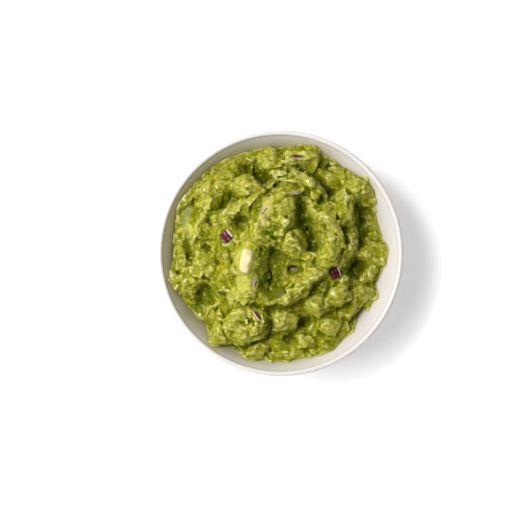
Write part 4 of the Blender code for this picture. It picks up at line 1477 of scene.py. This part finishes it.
@dataclass
class Stage:
    """Floor, soft light from the left, and the camera straight above."""

    floor_half: float = 2500.0
    view_from: tuple = (-11.8, -0.88, 544.0)
    view_width: float = 237.5
    view_drop: float = 500.0
    sensor: float = 36.0
    key_turn: float = 168.0
    key_climb: float = 60.0
    key_distance: float = 900.0
    key_size: float = 540.0
    key_power: float = 7.75
    sparkle_turn: float = 150.0
    sparkle_climb: float = 64.0
    sparkle_size: float = 140.0
    sparkle_power: float = 1.4
    sky_side: float = 0.46
    sky_top: float = 0.11
    sky_tilt: float = 0.5

    def build(self, material: bpy.types.Material) -> None:
        """Make the stage."""
        half = self.floor_half
        corners = np.array([(-half, -half, 0), (half, -half, 0), (half, half, 0), (-half, half, 0)])
        mesh_object("floor", corners, [(0, 1, 2, 3)], material)
        self.make_camera()
        self.make_lamp("key", self.key_turn, self.key_climb, self.key_size, self.key_power)
        self.make_lamp("sparkle", self.sparkle_turn, self.sparkle_climb, self.sparkle_size, self.sparkle_power)
        self.make_sky()
        bpy.context.scene.view_settings.view_transform = "Standard"

    def make_sky(self) -> None:
        """Even white light from all sides, weaker from straight above."""
        world = bpy.data.worlds.new("studio")
        world.use_nodes = True
        tree = Tree(world.node_tree)
        direction = tree.add("ShaderNodeTexCoord").outputs["Generated"]
        parts = tree.add("ShaderNodeSeparateXYZ", {"Vector": direction}).outputs
        strength = tree.math("MULTIPLY", tree.spread(parts["Z"], 0.60, 0.95, self.sky_side, self.sky_top),
                             tree.math("MULTIPLY_ADD", parts["X"], -self.sky_tilt, 1.0))
        tree.feed(world.node_tree.nodes["Background"].inputs["Strength"], strength)
        world.node_tree.nodes["Background"].inputs["Color"].default_value = (1, 1, 1, 1)
        bpy.context.scene.world = world

    def make_camera(self) -> None:
        """Camera that looks straight down."""
        data = bpy.data.cameras.new("camera")
        data.sensor_width = self.sensor
        data.lens = self.sensor * self.view_drop / self.view_width
        data.clip_start = 0.01
        data.clip_end = 20
        camera = bpy.data.objects.new("camera", data)
        camera.location = Vector(self.view_from) * MM
        bpy.context.collection.objects.link(camera)
        bpy.context.scene.camera = camera

    def make_lamp(self, name: str, turn: float, climb: float, size: float, power: float) -> None:
        """Round lamp that looks at the middle of the bowl."""
        data = bpy.data.lights.new(name, "AREA")
        data.shape = "DISK"
        data.size = size * MM
        data.energy = power
        lamp = bpy.data.objects.new(name, data)
        turn, climb = radians(turn), radians(climb)
        away = Vector((cos(turn) * cos(climb), sin(turn) * cos(climb), sin(climb)))
        lamp.location = away * self.key_distance * MM
        lamp.rotation_euler = away.to_track_quat("Z", "Y").to_euler()
        bpy.context.collection.objects.link(lamp)


# Bits that lie at places of their own: x, y, length, width, turn
HERBS = (
    (-23.7, 26.7, 4.4, 3.0, 60), (-33.3, 17.9, 3.6, 2.0, 30), (-7.0, 9.3, 4.4, 2.6, 10), (-4.0, 8.8, 4.0, 3.0, 80),
    (-27.4, -18.6, 4.4, 2.6, -30), (-8.0, -12.6, 3.8, 2.6, 20), (28.8, -8.4, 3.6, 4.6, 70), (-38.5, -15, 2.8, 1.6, 50),
    (-38, -23.8, 3.4, 2.0, 20), (9.6, 39.5, 3.6, 2.4, 40), (2.4, 16.3, 3.0, 2.0, 60), (1.0, 35.8, 5.4, 1.9, 12),
    (36.5, -11.5, 4.0, 2.6, 10), (16.0, 30.0, 2.8, 1.8, 0), (4.5, -27.5, 2.4, 1.5, 30), (-11.0, 40.5, 2.8, 1.5, 0),
)
SHREDS = (
    (-7.0, 19.6, 2.4, 0.8, 60), (-8.0, 18.0, 1.2, 0.6, 40), (21.0, 27.5, 1.8, 0.7, 10), (-26.6, -18.0, 1.0, 0.7, 0),
    (24.0, 21.0, 1.6, 0.6, 70),
)


def settle(piece: bpy.types.Object, slot: Slot, *nodes: str) -> None:
    """Let a piece ride on the body, hide the nodes it stands for, and report it."""
    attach(piece, BODY)
    if nodes:
        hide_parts(*nodes)
    piece.data.calc_loop_triangles()
    log.info("%s: %d triangles for %s", piece.name, len(piece.data.loop_triangles), ", ".join(nodes) or "itself")


def main() -> None:
    """Build every piece in order."""
    logging.basicConfig(level=logging.INFO, format="%(name)s %(message)s")
    wet_film_group()
    strands_group()
    tint_group()
    dish = Dish()
    Stage().build(FloorFinish().material())
    seats = [Seat.of("avocado_chunk", -0.12), Seat.of("onion_slice_back", 0.4)]
    seats += [Seat.of(node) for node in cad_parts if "onion" in node and "slice" not in node]
    mash = Mash(dish, seats=seats)
    settle(Bowl(dish).build(GlazeFinish().material(), mash), Slot.CERAMIC, "bowl")
    heap = mash.build(MashFinish().material())
    settle(heap, Slot.MASH, "guacamole")
    settle(Chunk().build(AvocadoFinish().material()), Slot.AVOCADO, "avocado_chunk")
    skin = OnionFinish()
    dark = OnionFinish(name="dark_onion", skin=rgb(66, 12, 18), streak_share=0.25, band=0.82)
    flesh = OnionFinish(name="pale_onion", skin=rgb(146, 128, 96), band=0.75, streak_share=0.5)
    glassy = OnionFinish(name="glassy_onion", skin=rgb(172, 174, 88), flesh=rgb(112, 64, 78), band=0.92,
                         streak=rgb(222, 220, 176), stripes=26.0)
    bits = (
        Onion("onion_dice_left", Slot.SKIN, skin, side=0, flip=True),
        Onion("onion_dice_right", Slot.SKIN, dark, flip=True, seed=43),
        Onion("onion_slice_back", Slot.FLESH, glassy, seed=46, edge=0.9, waver=0.6, side=0),
        Onion("onion_sliver_top", Slot.SKIN, dark, taper=0.65, waver=0.5, seed=49),
        Onion("onion_sliver_crest", Slot.FLESH, flesh, taper=0.6, waver=0.6, seed=52),
        Onion("onion_sliver_middle", Slot.FLESH, flesh, taper=0.5, waver=0.6, seed=55),
        Onion("onion_sliver_low", Slot.SKIN, skin, taper=0.6, seed=58),
        Onion("onion_bit_centre", Slot.SKIN, dark, seed=61),
    )
    for bit in bits:
        settle(bit.build(), bit.slot, bit.node)
    ground = Ground.of(heap)
    herbs = Scatter("chopped_herb", placed=HERBS, count=18, lengths=(1.0, 2.2), seed=71)
    settle(herbs.build(ground, HerbFinish().material()), Slot.HERB)
    crumbs = Scatter("avocado_crumbs", count=110, lengths=(1.0, 2.6), slimness=0.7, thickness=1.0, curl=0.1,
                     ragged=0.8, detail=2, sunk=0.1, seed=75)
    settle(crumbs.build(ground, CrumbFinish().material()), Slot.AVOCADO)
    slices = Scatter("soft_slice", placed=((-1.2, -18.2, 7.6, 4.8, 5.0),), thickness=0.7, curl=0.1, ragged=0.3,
                     sunk=-0.1, seed=83)
    clear = OnionFinish(name="soft_slice", skin=rgb(92, 96, 0), streak=rgb(140, 138, 30), streak_share=0.3)
    settle(slices.build(ground, clear.material()), Slot.FLESH)
    shreds = Scatter("onion_shreds", placed=SHREDS, count=8, lengths=(0.9, 1.8), slimness=0.4, thickness=0.5,
                     curl=0.5, ragged=0.3, seed=79)
    settle(shreds.build(ground, OnionFinish(name="onion_shred", skin=rgb(132, 112, 84)).material()), Slot.FLESH)


if __name__ == "__main__":
    main()
